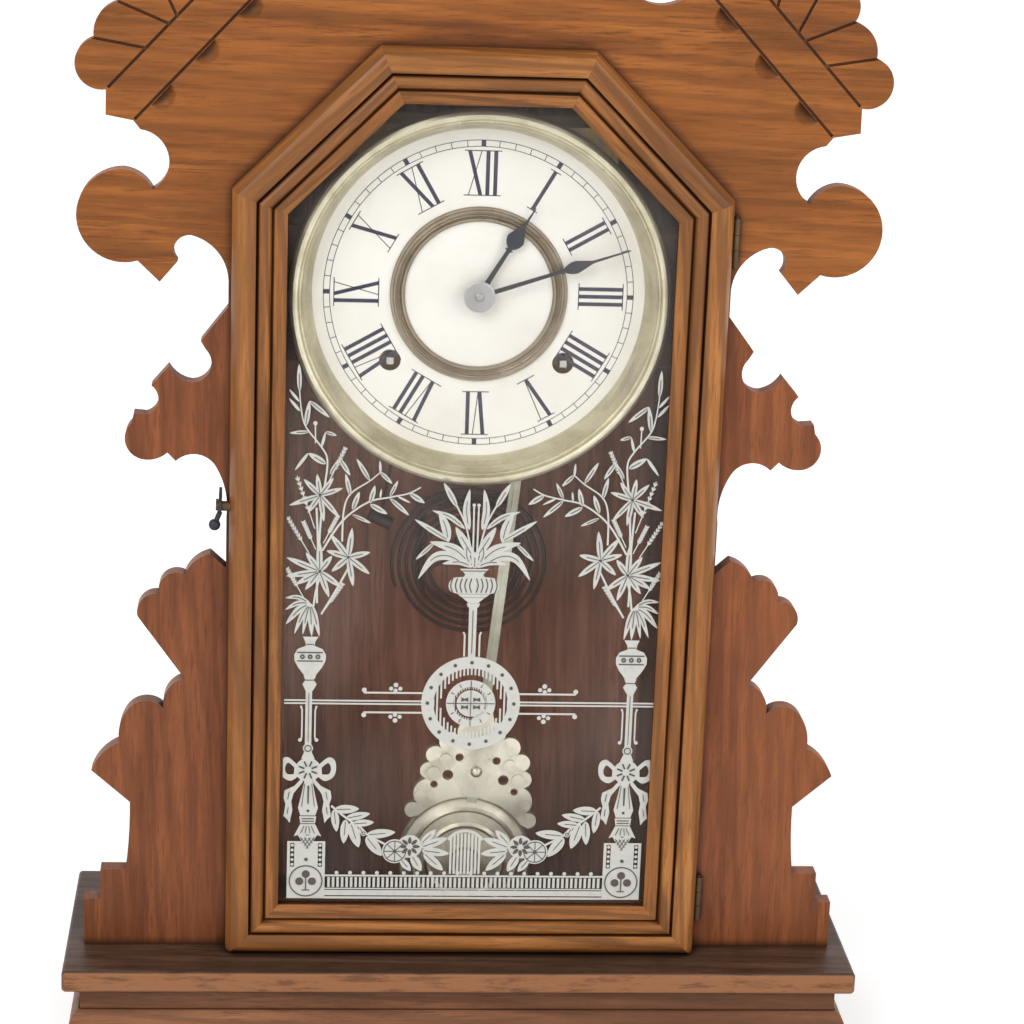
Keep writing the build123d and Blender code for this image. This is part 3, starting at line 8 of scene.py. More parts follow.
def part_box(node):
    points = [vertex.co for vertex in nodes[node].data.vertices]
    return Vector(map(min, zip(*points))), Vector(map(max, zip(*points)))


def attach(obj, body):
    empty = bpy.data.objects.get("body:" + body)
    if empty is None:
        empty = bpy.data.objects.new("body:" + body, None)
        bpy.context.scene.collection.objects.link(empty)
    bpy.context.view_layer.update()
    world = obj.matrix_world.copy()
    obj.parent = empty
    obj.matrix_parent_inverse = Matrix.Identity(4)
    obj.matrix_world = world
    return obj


# All lengths are in metres in the part's own frame.

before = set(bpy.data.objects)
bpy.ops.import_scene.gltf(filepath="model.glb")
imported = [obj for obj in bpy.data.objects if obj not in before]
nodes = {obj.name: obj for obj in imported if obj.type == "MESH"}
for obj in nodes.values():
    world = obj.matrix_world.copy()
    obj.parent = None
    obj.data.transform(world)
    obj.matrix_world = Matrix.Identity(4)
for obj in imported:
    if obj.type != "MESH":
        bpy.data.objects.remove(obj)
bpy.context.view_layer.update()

mm = 0.001

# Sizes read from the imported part

dial_low, dial_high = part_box("dial_bezel")
dial_x = (dial_low.x + dial_high.x) / 2
dial_z = (dial_low.z + dial_high.z) / 2
pan_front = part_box("dial_ring")[1].y
glass_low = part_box("door_glass")[0]
bob_low, bob_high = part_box("pendulum_bob")
bob_x = (bob_low.x + bob_high.x) / 2
bob_z = (bob_low.z + bob_high.z) / 2

# Camera

camera_place = Vector((-86.3, -1327.1, 653.4)) * mm
camera_yaw = 4.5756
camera_pitch = 16.391
camera_roll = 2.158
camera_lens = 103.379


def make_camera():
    """The camera of the photograph's view."""
    data = bpy.data.cameras.new("camera")
    data.lens = camera_lens
    data.sensor_width = 36.0
    data.clip_start = 0.05
    data.clip_end = 30.0
    camera = bpy.data.objects.new("camera", data)
    bpy.context.scene.collection.objects.link(camera)
    yaw, pitch, roll = radians(camera_yaw), radians(camera_pitch), radians(camera_roll)
    forward = Vector((sin(yaw) * cos(pitch), cos(yaw) * cos(pitch), -sin(pitch)))
    right = Vector((cos(yaw), -sin(yaw), 0.0))
    up = right.cross(forward)
    right_rolled = cos(roll) * right + sin(roll) * up
    up_rolled = -sin(roll) * right + cos(roll) * up
    turn = Matrix((right_rolled, up_rolled, -forward)).transposed().to_4x4()
    camera.matrix_world = Matrix.Translation(camera_place) @ turn
    bpy.context.scene.camera = camera


# Materials

class Graph:
    """A small helper that adds nodes to one material."""

    def __init__(self, name):
        self.material = bpy.data.materials.new(name)
        self.material.use_nodes = True
        self.tree = self.material.node_tree
        self.tree.nodes.clear()
        self.shader = self.tree.nodes.new("ShaderNodeBsdfPrincipled")
        self.output = self.tree.nodes.new("ShaderNodeOutputMaterial")
        self.join(self.shader.outputs[0], self.output.inputs[0])

    def join(self, start, end):
        self.tree.links.new(start, end)

    def put(self, value, socket):
        """A socket, or a plain value, goes into a socket."""
        if hasattr(value, "links"):
            self.join(value, socket)
        elif isinstance(value, tuple) and len(value) == 3 and socket.type == "RGBA":
            socket.default_value = (*value, 1.0)
        else:
            socket.default_value = value

    def coordinates(self, scale=(1.0, 1.0, 1.0), turn=(0.0, 0.0, 0.0), place=(0.0, 0.0, 0.0)):
        """Object coordinates, moved and turned first and scaled after."""
        source = self.tree.nodes.new("ShaderNodeTexCoord")
        turned = self.tree.nodes.new("ShaderNodeMapping")
        turned.inputs["Rotation"].default_value = turn
        turned.inputs["Location"].default_value = place
        scaled = self.tree.nodes.new("ShaderNodeMapping")
        scaled.inputs["Scale"].default_value = scale
        self.join(source.outputs["Object"], turned.inputs["Vector"])
        self.join(turned.outputs[0], scaled.inputs["Vector"])
        return scaled.outputs[0]

    def noise(self, vector, scale, detail=4.0, rough=0.55, distortion=0.0):
        node = self.tree.nodes.new("ShaderNodeTexNoise")
        self.join(vector, node.inputs["Vector"])
        node.inputs["Scale"].default_value = scale
        node.inputs["Detail"].default_value = detail
        node.inputs["Roughness"].default_value = rough
        node.inputs["Distortion"].default_value = distortion
        return node.outputs["Fac"]

    def wave(self, vector, scale, distortion, detail=3.0, axis="X"):
        node = self.tree.nodes.new("ShaderNodeTexWave")
        node.bands_direction = axis
        self.join(vector, node.inputs["Vector"])
        node.inputs["Scale"].default_value = scale
        node.inputs["Distortion"].default_value = distortion
        node.inputs["Detail"].default_value = detail
        node.inputs["Detail Scale"].default_value = 1.2
        return node.outputs["Fac"]

    def ramp(self, value, stops):
        node = self.tree.nodes.new("ShaderNodeValToRGB")
        self.join(value, node.inputs[0])
        elements = node.color_ramp.elements
        while len(elements) < len(stops):
            elements.new(0.5)
        for element, (place, colour) in zip(elements, stops):
            element.position = place
            element.color = (*colour, 1.0) if isinstance(colour, tuple) else (colour, colour, colour, 1.0)
        return node.outputs[0]

    def mix(self, factor, first, second):
        node = self.tree.nodes.new("ShaderNodeMix")
        node.data_type = "RGBA"
        self.put(factor, node.inputs[0])
        self.put(first, node.inputs[6])
        self.put(second, node.inputs[7])
        return node.outputs[2]

    def maths(self, kind, first, second=0.0):
        node = self.tree.nodes.new("ShaderNodeMath")
        node.operation = kind
        self.put(first, node.inputs[0])
        self.put(second, node.inputs[1])
        return node.outputs[0]

    def edges(self, reach, low=0.51, high=0.60):
        """White where the surface bulges, for worn edges."""
        node = self.tree.nodes.new("ShaderNodeNewGeometry")
        return self.ramp(node.outputs["Pointiness"], [(low, 0.0), (high, reach)])

    def hollow_shade(self, reach, distance=0.006):
        """White where the surface is hollow, a mask for painted shade in grooves and hollows."""
        node = self.tree.nodes.new("ShaderNodeAmbientOcclusion")
        node.samples = 8
        node.inputs["Distance"].default_value = distance
        return self.ramp(node.outputs["AO"], [(0.45, reach), (0.88, 0.0)])

    def bump(self, height, strength, distance):
        node = self.tree.nodes.new("ShaderNodeBump")
        node.inputs["Strength"].default_value = strength
        node.inputs["Distance"].default_value = distance
        self.join(height, node.inputs["Height"])
        self.join(node.outputs[0], self.shader.inputs["Normal"])

    def finish(self, colour, rough, metal=0.0, coat=0.0, coat_rough=0.1):
        self.put(colour, self.shader.inputs["Base Color"])
        self.put(rough, self.shader.inputs["Roughness"])
        self.shader.inputs["Metallic"].default_value = metal
        self.shader.inputs["Coat Weight"].default_value = coat
        self.shader.inputs["Coat Roughness"].default_value = coat_rough
        return self.material


def wood(name, dark, middle, light, grain, coat=0.05, rough=0.46, streak=0.55, seed=0.0, wear=0.35,
         turn=(0.0, 0.0, 0.0), front_painted_light=0.0):
    """Varnished wood. The grain's direction is the axis with the small scale."""
    g = Graph(name)
    long_grain = g.coordinates(scale=grain, turn=turn, place=(seed, seed * 0.7, seed * 1.3))
    wide = g.noise(long_grain, 9.0, 5.0, 0.6, 0.4)
    fine = g.noise(long_grain, 55.0, 6.0, 0.7, 0.1)
    bands = g.wave(long_grain, 5.0, 7.0, 4.0, "DIAGONAL")
    body = g.ramp(wide, [(0.30, dark), (0.50, middle), (0.72, light)])
    body = g.mix(g.ramp(bands, [(0.10, streak), (0.45, 0.0)]), body, dark)
    pores = g.ramp(fine, [(0.36, 0.75), (0.50, 0.0)])
    body = g.mix(pores, body, tuple(c * 0.35 for c in dark))
    plain = g.coordinates()
    dirt = g.ramp(g.noise(plain, 14.0, 5.0, 0.6), [(0.42, 0.0), (0.66, 0.45)])
    body = g.mix(dirt, body, tuple(c * 0.45 for c in dark))
    patches = g.ramp(g.noise(long_grain, 4.0, 4.0, 0.6), [(0.3, wear * 0.35), (0.7, wear)])
    body = g.mix(patches, body, tuple(min(1.0, c * 1.5) for c in light))
    # Painted shade: darker in grooves and hollows, from the occlusion mask.
    body = g.mix(g.hollow_shade(0.9), body, tuple(c * 0.4 for c in dark))
    # Painted light: faces that turn to the front are mixed towards a lighter colour.
    if front_painted_light > 0.0:
        facing = g.tree.nodes.new("ShaderNodeSeparateXYZ")
        g.join(g.tree.nodes.new("ShaderNodeNewGeometry").outputs["Normal"], facing.inputs[0])
        front_light_mask = g.ramp(g.maths("MULTIPLY", facing.outputs[1], -1.0), [(0.6, 0.0), (0.9, front_painted_light)])
        body = g.mix(front_light_mask, body, g.mix(pores, (0.36, 0.15, 0.062), (0.14, 0.055, 0.024)))
    shine = g.ramp(g.noise(plain, 22.0, 4.0, 0.6), [(0.3, rough - 0.08), (0.7, rough + 0.14)])
    g.bump(g.maths("ADD", fine, g.maths("MULTIPLY", wide, 0.6)), 0.22, 0.0004)
    g.shader.inputs["Specular IOR Level"].default_value = 0.22
    return g.finish(body, shine, coat=coat, coat_rough=0.22)


def metal(name, colour, dark, rough, scale=60.0, metallic=1.0, spots=0.5, wear=0.3):
    """Metal with tarnish, small pits and scratches."""
    g = Graph(name)
    plain = g.coordinates()
    cloud = g.noise(plain, scale, 6.0, 0.65, 0.3)
    fine = g.noise(plain, scale * 9.0, 4.0, 0.7)
    body = g.mix(g.ramp(cloud, [(0.40, 0.0), (0.68, spots)]), colour, dark)
    body = g.mix(g.ramp(fine, [(0.58, 0.0), (0.75, 0.6)]), body, tuple(c * 0.5 for c in dark))
    body = g.mix(g.edges(wear), body, tuple(min(1.0, c * 1.25) for c in colour))
    shine = g.ramp(cloud, [(0.30, rough), (0.72, rough + 0.22)])
    g.bump(fine, 0.12, 0.0002)
    return g.finish(body, shine, metal=metallic)


def brushed_ring(name, colour, dark, rough, centre):
    """Turned metal with fine rings round a centre in the XZ plane."""
    g = Graph(name)
    source = g.coordinates(place=(-centre[0], 0.0, -centre[1]))
    node = g.tree.nodes.new("ShaderNodeSeparateXYZ")
    g.join(source, node.inputs[0])
    square = g.maths("ADD", g.maths("POWER", node.outputs[0], 2.0), g.maths("POWER", node.outputs[2], 2.0))
    radius = g.maths("SQRT", square)
    line = g.tree.nodes.new("ShaderNodeCombineXYZ")
    g.join(radius, line.inputs[0])
    rings = g.noise(line.outputs[0], 2600.0, 3.0, 0.7)
    plain = g.coordinates()
    cloud = g.noise(plain, 45.0, 6.0, 0.62, 0.4)
    body = g.mix(g.ramp(rings, [(0.3, 0.0), (0.8, 0.35)]), colour, dark)
    body = g.mix(g.ramp(cloud, [(0.42, 0.0), (0.70, 0.7)]), body, dark)
    fine = g.noise(plain, 420.0, 4.0, 0.7)
    body = g.mix(g.ramp(fine, [(0.60, 0.0), (0.74, 0.5)]), body, tuple(c * 0.45 for c in dark))
    shine = g.ramp(cloud, [(0.30, rough), (0.72, rough + 0.24)])
    g.bump(rings, 0.10, 0.0002)
    return g.finish(body, shine, metal=1.0)


def paper(name, colour, stain, rough=0.75):
    """Old printed paper."""
    g = Graph(name)
    plain = g.coordinates()
    cloud = g.noise(plain, 26.0, 5.0, 0.6)
    fine = g.noise(plain, 900.0, 3.0, 0.7)
    body = g.mix(g.ramp(cloud, [(0.45, 0.0), (0.80, 0.45)]), colour, stain)
    body = g.mix(g.ramp(fine, [(0.62, 0.0), (0.80, 0.25)]), body, tuple(c * 0.7 for c in stain))
    g.bump(fine, 0.08, 0.0001)
    return g.finish(body, rough)


def ink(name, colour, patch, rough=0.6):
    """Ink or paint that has worn unevenly."""
    g = Graph(name)
    plain = g.coordinates()
    cloud = g.noise(plain, 180.0, 5.0, 0.7)
    body = g.mix(g.ramp(cloud, [(0.50, 0.0), (0.75, 0.7)]), colour, patch)
    return g.finish(body, rough)


glass_dust = 0.04


def clear_glass(name):
    """Thin old window glass that lets the light of the lamps through."""
    g = Graph(name)
    plain = g.coordinates()
    g.bump(g.noise(plain, 9.0, 2.0, 0.4), 0.05, 0.0006)
    material = g.finish((0.96, 0.98, 0.97), 0.02)
    dust = g.tree.nodes.new("ShaderNodeBsdfDiffuse")
    g.put((0.80, 0.72, 0.66), dust.inputs["Color"])
    veil = g.tree.nodes.new("ShaderNodeMixShader")
    g.join(g.ramp(g.noise(plain, 7.0, 3.0, 0.5), [(0.40, 0.008), (0.60, glass_dust)]), veil.inputs[0])
    g.join(g.shader.outputs[0], veil.inputs[1])
    g.join(dust.outputs[0], veil.inputs[2])
    g.join(veil.outputs[0], g.output.inputs[0])
    g.shader.inputs["Transmission Weight"].default_value = 1.0
    g.shader.inputs["IOR"].default_value = 1.05
    g.shader.inputs["Alpha"].default_value = 0.12
    material.blend_method = "BLEND"
    return material


def dress(material, *names):
    """One material for whole nodes."""
    for name in names:
        data = nodes[name].data
        data.materials.clear()
        data.materials.append(material)


def make_materials():
    """Every material of the clock, given to its nodes."""
    made = {}
    level = (1.0, 6.0, 14.0)
    upright = (14.0, 6.0, 1.0)
    made["crown"] = wood("crown_wood", (0.066, 0.017, 0.004), (0.255, 0.073, 0.014), (0.40, 0.140, 0.030),
                         level, seed=0.3)
    made["wing"] = wood("wing_wood", (0.062, 0.016, 0.006), (0.220, 0.063, 0.021), (0.33, 0.110, 0.040),
                        upright, seed=1.1)
    golden = ((0.050, 0.015, 0.005), (0.245, 0.082, 0.019), (0.46, 0.185, 0.048))
    made["rail_level"] = wood("door_wood_level", *golden, (1.0, 8.0, 16.0), coat=0.12, rough=0.40,
                              streak=0.85, seed=2.2)
    made["rail_upright"] = wood("door_wood_upright", *golden, (16.0, 8.0, 1.0), coat=0.12, rough=0.40,
                                streak=0.85, seed=3.4)
    made["rail_left"] = wood("door_wood_left", *golden, (1.0, 8.0, 16.0), coat=0.12, rough=0.40,
                             streak=0.85, seed=4.0, turn=(0.0, radians(45.0), 0.0))
    made["rail_right"] = wood("door_wood_right", *golden, (1.0, 8.0, 16.0), coat=0.12, rough=0.40,
                              streak=0.85, seed=4.6, turn=(0.0, radians(-45.0), 0.0))
    # The front faces of the base top get painted light.
    made["base_top"] = wood("base_top_wood", (0.034, 0.016, 0.009), (0.088, 0.044, 0.025),
                            (0.145, 0.080, 0.047), (1.0, 14.0, 6.0), coat=0.1, seed=5.2, wear=0.1,
                            front_painted_light=0.85)
    made["base"] = wood("base_wood", (0.055, 0.020, 0.009), (0.160, 0.062, 0.028), (0.29, 0.122, 0.056),
                        level, seed=6.1)
    made["case"] = wood("case_wood", (0.022, 0.009, 0.005), (0.055, 0.020, 0.011), (0.095, 0.036, 0.019),
                        upright, coat=0.0, rough=0.66, seed=7.7)
    made["back"] = wood("back_wood", (0.080, 0.030, 0.017), (0.24, 0.094, 0.056), (0.37, 0.165, 0.105),
                        upright, coat=0.0, rough=0.60, seed=8.3)
    made["paper"] = paper("dial_paper", (0.87, 0.85, 0.79), (0.62, 0.56, 0.44))
    dial_centre = (dial_x, dial_z)
    made["bezel"] = brushed_ring("bezel_metal", (0.66, 0.62, 0.47), (0.36, 0.31, 0.19), 0.30, dial_centre)
    made["ring"] = brushed_ring("ring_metal", (0.36, 0.315, 0.24), (0.17, 0.12, 0.075), 0.32, dial_centre)
    made["bob"] = brushed_ring("bob_metal", (0.58, 0.55, 0.45), (0.30, 0.25, 0.18), 0.32, (bob_x, bob_z))
    made["casting"] = metal("casting_metal", (0.60, 0.57, 0.47), (0.22, 0.18, 0.12), 0.34, wear=0.7)
    made["brass"] = metal("plate_brass", (0.62, 0.45, 0.20), (0.30, 0.19, 0.07), 0.30)
    made["dull_brass"] = metal("dull_brass", (0.13, 0.085, 0.045), (0.05, 0.03, 0.018), 0.46)
    made["steel"] = metal("steel", (0.42, 0.41, 0.39), (0.18, 0.15, 0.12), 0.34)
    made["strip"] = metal("pendulum_steel", (0.50, 0.49, 0.40), (0.30, 0.27, 0.18), 0.40)
    made["washer"] = metal("washer_steel", (0.40, 0.40, 0.40), (0.22, 0.21, 0.20), 0.34)
    made["black"] = metal("black_steel", (0.030, 0.034, 0.042), (0.05, 0.040, 0.034), 0.40, metallic=0.6)
    made["gong"] = metal("gong_steel", (0.040, 0.036, 0.036), (0.085, 0.055, 0.038), 0.42, metallic=0.7)
    made["glass"] = clear_glass("door_glass")
    made["ink"] = ink("dial_ink", (0.018, 0.018, 0.045), (0.05, 0.05, 0.085))
    made["print"] = ink("glass_print", (0.62, 0.62, 0.57), (0.50, 0.495, 0.45))
    # Painted shade: dark sheets over the clear lines of the glass print stand for the dim case behind the
    # glass.
    made["print_line"] = ink("glass_print_line", (0.085, 0.070, 0.060), (0.13, 0.11, 0.095))
    dress(made["crown"], "crown_board", "lower_rail")
    dress(made["wing"], "left_wing", "right_wing")
    dress(made["rail_level"], "door_top_rail", "door_bottom_rail")
    dress(made["rail_upright"], "door_left_stile", "door_right_stile", "glass_beads")
    dress(made["rail_left"], "door_left_corner_rail")
    dress(made["rail_right"], "door_right_corner_rail")
    dress(made["base_top"], "base_top")
    dress(made["base"], "base_front", "base_left_side", "base_right_side")
    dress(made["case"], "case_left_side", "case_right_side", "case_roof", "dial_blocks")
    dress(made["back"], "back_board", "base_back", "base_blocks", "gong_block")
    dress(made["paper"], "dial_pan")
    dress(made["bezel"], "dial_bezel")
    dress(made["ring"], "dial_ring")
    dress(made["bob"], "pendulum_bob")
    dress(made["casting"], "pendulum_ornament")
    dress(made["brass"], "front_plate", "back_plate", "centre_arbor", "second_wheel", "third_wheel",
          "escape_wheel", "hour_wheel", "minute_wheel", "time_great_wheel", "strike_great_wheel",
          "strike_second_wheel", "strike_fly")
    dress(made["dull_brass"], "upper_door_leaf", "lower_door_leaf", "upper_case_leaf", "lower_case_leaf",
          "latch_screw", "latch_pin")
    dress(made["steel"], "pillars", "time_winding_arbor", "strike_winding_arbor", "time_mainspring",
          "strike_mainspring", "verge")
    dress(made["strip"], "pendulum_rod")
    dress(made["black"], "hour_hand", "minute_hand", "latch_hook")
    dress(made["gong"], "gong_coil", "gong_post", "hammer")
    dress(made["glass"], "door_glass")
    return made


# Geometry helpers

def piece(name, builder, material, body):
    """One new mesh piece. The builder fills a bmesh."""
    mesh = bpy.data.meshes.new(name)
    bm = bmesh.new()
    builder(bm)
    bmesh.ops.recalc_face_normals(bm, faces=bm.faces)
    bm.to_mesh(mesh)
    bm.free()
    mesh.materials.append(material)
    thing = bpy.data.objects.new(name, mesh)
    bpy.context.scene.collection.objects.link(thing)
    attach(thing, body)


def flat_shape(bm, points, front, back):
    """A flat polygon in the XZ plane, thickened along Y."""
    count = len(points)
    near = [bm.verts.new((x, front, z)) for x, z in points]
    far = [bm.verts.new((x, back, z)) for x, z in points]
    bm.faces.new(near)
    bm.faces.new(list(reversed(far)))
    for index in range(count):
        after = (index + 1) % count
        bm.faces.new((near[index], far[index], far[after], near[after]))


def flat_ring(bm, centre, outer, inner, front, back, count=180):
    """A flat ring in the XZ plane, thickened along Y."""
    rows = []
    for radius, y in ((outer, front), (outer, back), (inner, back), (inner, front)):
        row = []
        for index in range(count):
            angle = 2 * pi * index / count
            row.append(bm.verts.new((centre[0] + radius * cos(angle), y, centre[1] + radius * sin(angle))))
        rows.append(row)
    for first in range(4):
        a, b = rows[first], rows[(first + 1) % 4]
        for index in range(count):
            after = (index + 1) % count
            bm.faces.new((a[index], b[index], b[after], a[after]))


def smooth_line(points, steps=8):
    """Points along a soft curve through the given ones."""
    out = []
    last = len(points) - 1
    for index in range(last):
        p0 = points[max(0, index - 1)]
        p1 = points[index]
        p2 = points[index + 1]
        p3 = points[min(last, index + 2)]
        for step in range(steps):
            t = step / steps
            spot = []
            for a, b, c, d in zip(p0, p1, p2, p3):
                spot.append(0.5 * (2 * b + (c - a) * t + (2 * a - 5 * b + 4 * c - d) * t * t
                                   + (3 * b - a - 3 * c + d) * t ** 3))
            out.append(tuple(spot))
    out.append(tuple(points[-1]))
    return out


# Dial print

dial_ink_thickness = 0.06 * mm
track_outer = 71.2 * mm
track_inner = 68.0 * mm
track_line = 0.32 * mm
numeral_inner = 45.6 * mm
numeral_outer = 66.4 * mm
numeral_serif = 0.45 * mm
numeral_overhang = 0.95 * mm
numeral_thick = 1.8 * mm
numeral_thin = 0.42 * mm
numeral_widths = {"I": 3.5 * mm, "V": 7.0 * mm, "X": 8.0 * mm}


def dial_point(radius, angle, across=0.0):
    """A place on the dial. The angle runs clockwise from the top, across is to the right of the radius."""
    a = radians(angle)
    return (dial_x + radius * sin(a) + across * cos(a), dial_z + radius * cos(a) - across * sin(a))


def dial_bar(bm, angle, a, b, width):
    """A bar between two (radius, across) places of one numeral."""
    corners = []
    for (radius, across), half in ((a, -width / 2), (b, -width / 2), (b, width / 2), (a, width / 2)):
        corners.append(dial_point(radius, angle, across + half))
    flat_shape(bm, corners, pan_front - dial_ink_thickness, pan_front + 0.01 * mm)


def dial_arc(bm, angle, radius, width, reach):
    """A thin serif line across the feet or heads of a numeral."""
    corners = []
    for across, rise in ((-reach, 0.0), (reach, 0.0), (reach, width), (-reach, width)):
        corners.append(dial_point(radius + rise, angle, across))
    flat_shape(bm, corners, pan_front - dial_ink_thickness * 1.1, pan_front + 0.01 * mm)


def make_numerals(bm):
    """Twelve roman numerals that stand with their feet to the centre."""
    names = ["XII", "I", "II", "III", "IIII", "V", "VI", "VII", "VIII", "IX", "X", "XI"]
    low = numeral_inner
    high = numeral_outer
    for hour, text in enumerate(names):
        angle = hour * 30.0
        total = sum(numeral_widths[letter] for letter in text)
        left = -total / 2
        for letter in text:
            width = numeral_widths[letter]
            middle = left + width / 2
            if letter == "I":
                dial_bar(bm, angle, (low, middle), (high, middle), numeral_thick)
            if letter == "V":
                dial_bar(bm, angle, (low, middle), (high, left + width * 0.20), numeral_thick)
                foot = middle + numeral_thick * 0.3
                dial_bar(bm, angle, (low, foot), (high, left + width * 0.88), numeral_thin)
            if letter == "X":
                dial_bar(bm, angle, (low, left + width * 0.84), (high, left + width * 0.16), numeral_thick)
                dial_bar(bm, angle, (low, left + width * 0.14), (high, left + width * 0.86), numeral_thin)
            left += width
        reach = total / 2 + numeral_overhang
        dial_arc(bm, angle, low, numeral_serif, reach)
        dial_arc(bm, angle, high - numeral_serif, numeral_serif, reach)


def make_minute_track(bm):
    """Two thin circles joined by sixty ticks, with a broad tick at every hour."""
    front = pan_front - dial_ink_thickness
    back = pan_front + 0.01 * mm
    flat_ring(bm, (dial_x, dial_z), track_outer, track_outer - track_line, front, back)
    flat_ring(bm, (dial_x, dial_z), track_inner + track_line, track_inner, front, back)
    for minute in range(60):
        width = 2.1 * mm if minute % 5 == 0 else 0.34 * mm
        inner = (track_inner + track_line * 0.5, 0.0)
        outer = (track_outer - track_line * 0.5, 0.0)
        dial_bar(bm, minute * 6.0, inner, outer, width)


def turned_disc(bm, centre, profile, count=48):
    """A turned piece about an axis along Y. The profile runs from the middle out as (radius, y)."""
    middle = bm.verts.new((centre[0], profile[0][1], centre[1]))
    rows = []
    for radius, y in profile[1:]:
        row = []
        for index in range(count):
            angle = 2 * pi * index / count
            row.append(bm.verts.new((centre[0] + radius * cos(angle), y, centre[1] + radius * sin(angle))))
        rows.append(row)
    for index in range(count):
        bm.faces.new((middle, rows[0][index], rows[0][(index + 1) % count]))
    for row, other in zip(rows[:-1], rows[1:]):
        for index in range(count):
            after = (index + 1) % count
            bm.faces.new((row[index], other[index], other[after], row[after]))
    bm.faces.new(list(reversed(rows[-1])))


def make_dial(materials):
    """The printed dial and the washer that holds the hands."""
    piece("dial_numerals", make_numerals, materials["ink"], "case")
    piece("dial_minute_track", make_minute_track, materials["ink"], "case")
    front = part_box("minute_hand")[0].y

    def washer(bm):
        face = front - 0.1 * mm
        turned_disc(bm, (dial_x, dial_z), [(0.0, face - 1.3 * mm), (1.3 * mm, face - 1.3 * mm),
                                           (1.9 * mm, face - 0.9 * mm), (2.2 * mm, face - 0.55 * mm),
                                           (6.6 * mm, face - 0.25 * mm), (7.2 * mm, face),
                                           (7.2 * mm, front + 0.2 * mm)])

    piece("hand_washer", washer, materials["washer"], "minute")


# Glass print

glass_print_gap = 0.01 * mm
glass_print_step = 0.0003 * mm
glass_print_limit = 87.0 * mm
glass_print_middle = 0.9 * mm
glass_line_lift = 0.30 * mm


class Sheet:
    """Flat shapes on the door glass, the white print and the dark sheets of painted shade for its clear
    lines, each a hair in front of the last, in millimetres.
    """

    def __init__(self, bm, lift):
        self.bm = bm
        self.lift = lift
        self.count = 0

    def shape(self, outer, holes=(), both=True):
        """A flat shape with its holes, on one side of the middle or on both."""
        for side in ((1.0, -1.0) if both else (1.0,)):
            self.count += 1
            front = glass_low.y - glass_print_gap - self.lift - self.count * glass_print_step
            back = glass_low.y - glass_print_gap
            loops = []
            for loop in (outer, *holes):
                places = []
                for across, height in loop:
                    x = max(-glass_print_limit, min(glass_print_limit, side * across * mm))
                    places.append(Vector((glass_print_middle + x, height * mm, 0.0)))
                loops.append(places)
            near, far = [], []
            for places in loops:
                near.append([self.bm.verts.new((p.x, front, p.y)) for p in places])
                far.append([self.bm.verts.new((p.x, back, p.y)) for p in places])
            flat_near = [vert for row in near for vert in row]
            flat_far = [vert for row in far for vert in row]
            for a, b, c in tessellate_polygon(loops):
                self.bm.faces.new((flat_near[a], flat_near[b], flat_near[c]))
                self.bm.faces.new((flat_far[c], flat_far[b], flat_far[a]))
            for row, other in zip(near, far):
                for index in range(len(row)):
                    after = (index + 1) % len(row)
                    self.bm.faces.new((row[index], other[index], other[after], row[after]))

    def line(self, points, width, both=True, taper=1.0):
        """A line of even or tapering width."""
        self.shape(line_loop(points, lambda part: width / 2 * (1.0 + (taper - 1.0) * part)), both=both)

    def disc(self, centre, radius, both=True, count=20):
        """A round dot."""
        self.shape(round_loop(centre, radius, count), both=both)

    def ring(self, centre, outer, inner, both=True, count=48):
        """A flat ring."""
        self.shape(round_loop(centre, outer, count), [round_loop(centre, inner, count)], both=both)


def round_loop(centre, radius, count=20):
    """The corners of a circle."""
    turn = 2 * pi / count
    return [(centre[0] + radius * cos(turn * i), centre[1] + radius * sin(turn * i)) for i in range(count)]


def line_loop(points, half_width):
    """The outline of a line. The half width is a function of the part of the way along it."""
    left, right = [], []
    last = len(points) - 1
    for index, (x, z) in enumerate(points):
        ax, az = points[max(0, index - 1)]
        bx, bz = points[min(last, index + 1)]
        length = hypot(bx - ax, bz - az) or 1.0
        half = half_width(index / last)
        left.append((x - (bz - az) / length * half, z + (bx - ax) / length * half))
        right.append((x + (bz - az) / length * half, z - (bx - ax) / length * half))
    return left + right[::-1]


def leaf_loop(points, width):
    """A pointed leaf along a soft line."""
    line = smooth_line(points, 6 if len(points) > 2 else 10)
    return line_loop(line, lambda part: width / 2 * max(0.04, sin(pi * part ** 0.85) ** 0.9))


def add_leaf(white, dark, points, width, both=True, vein=True):
    """A leaf with its vein."""
    white.shape(leaf_loop(points, width), both=both)
    if vein and width > 1.5:
        line = smooth_line(points, 8)
        count = len(line)
        dark.line(line[int(count * 0.18):int(count * 0.74)], 0.28, both=both)


def add_flower(white, dark, centre, tips, width):
    """A star flower of pointed petals."""
    for tip in tips:
        add_leaf(white, dark, [centre, tip], width)
    dark.disc(centre, 0.7)


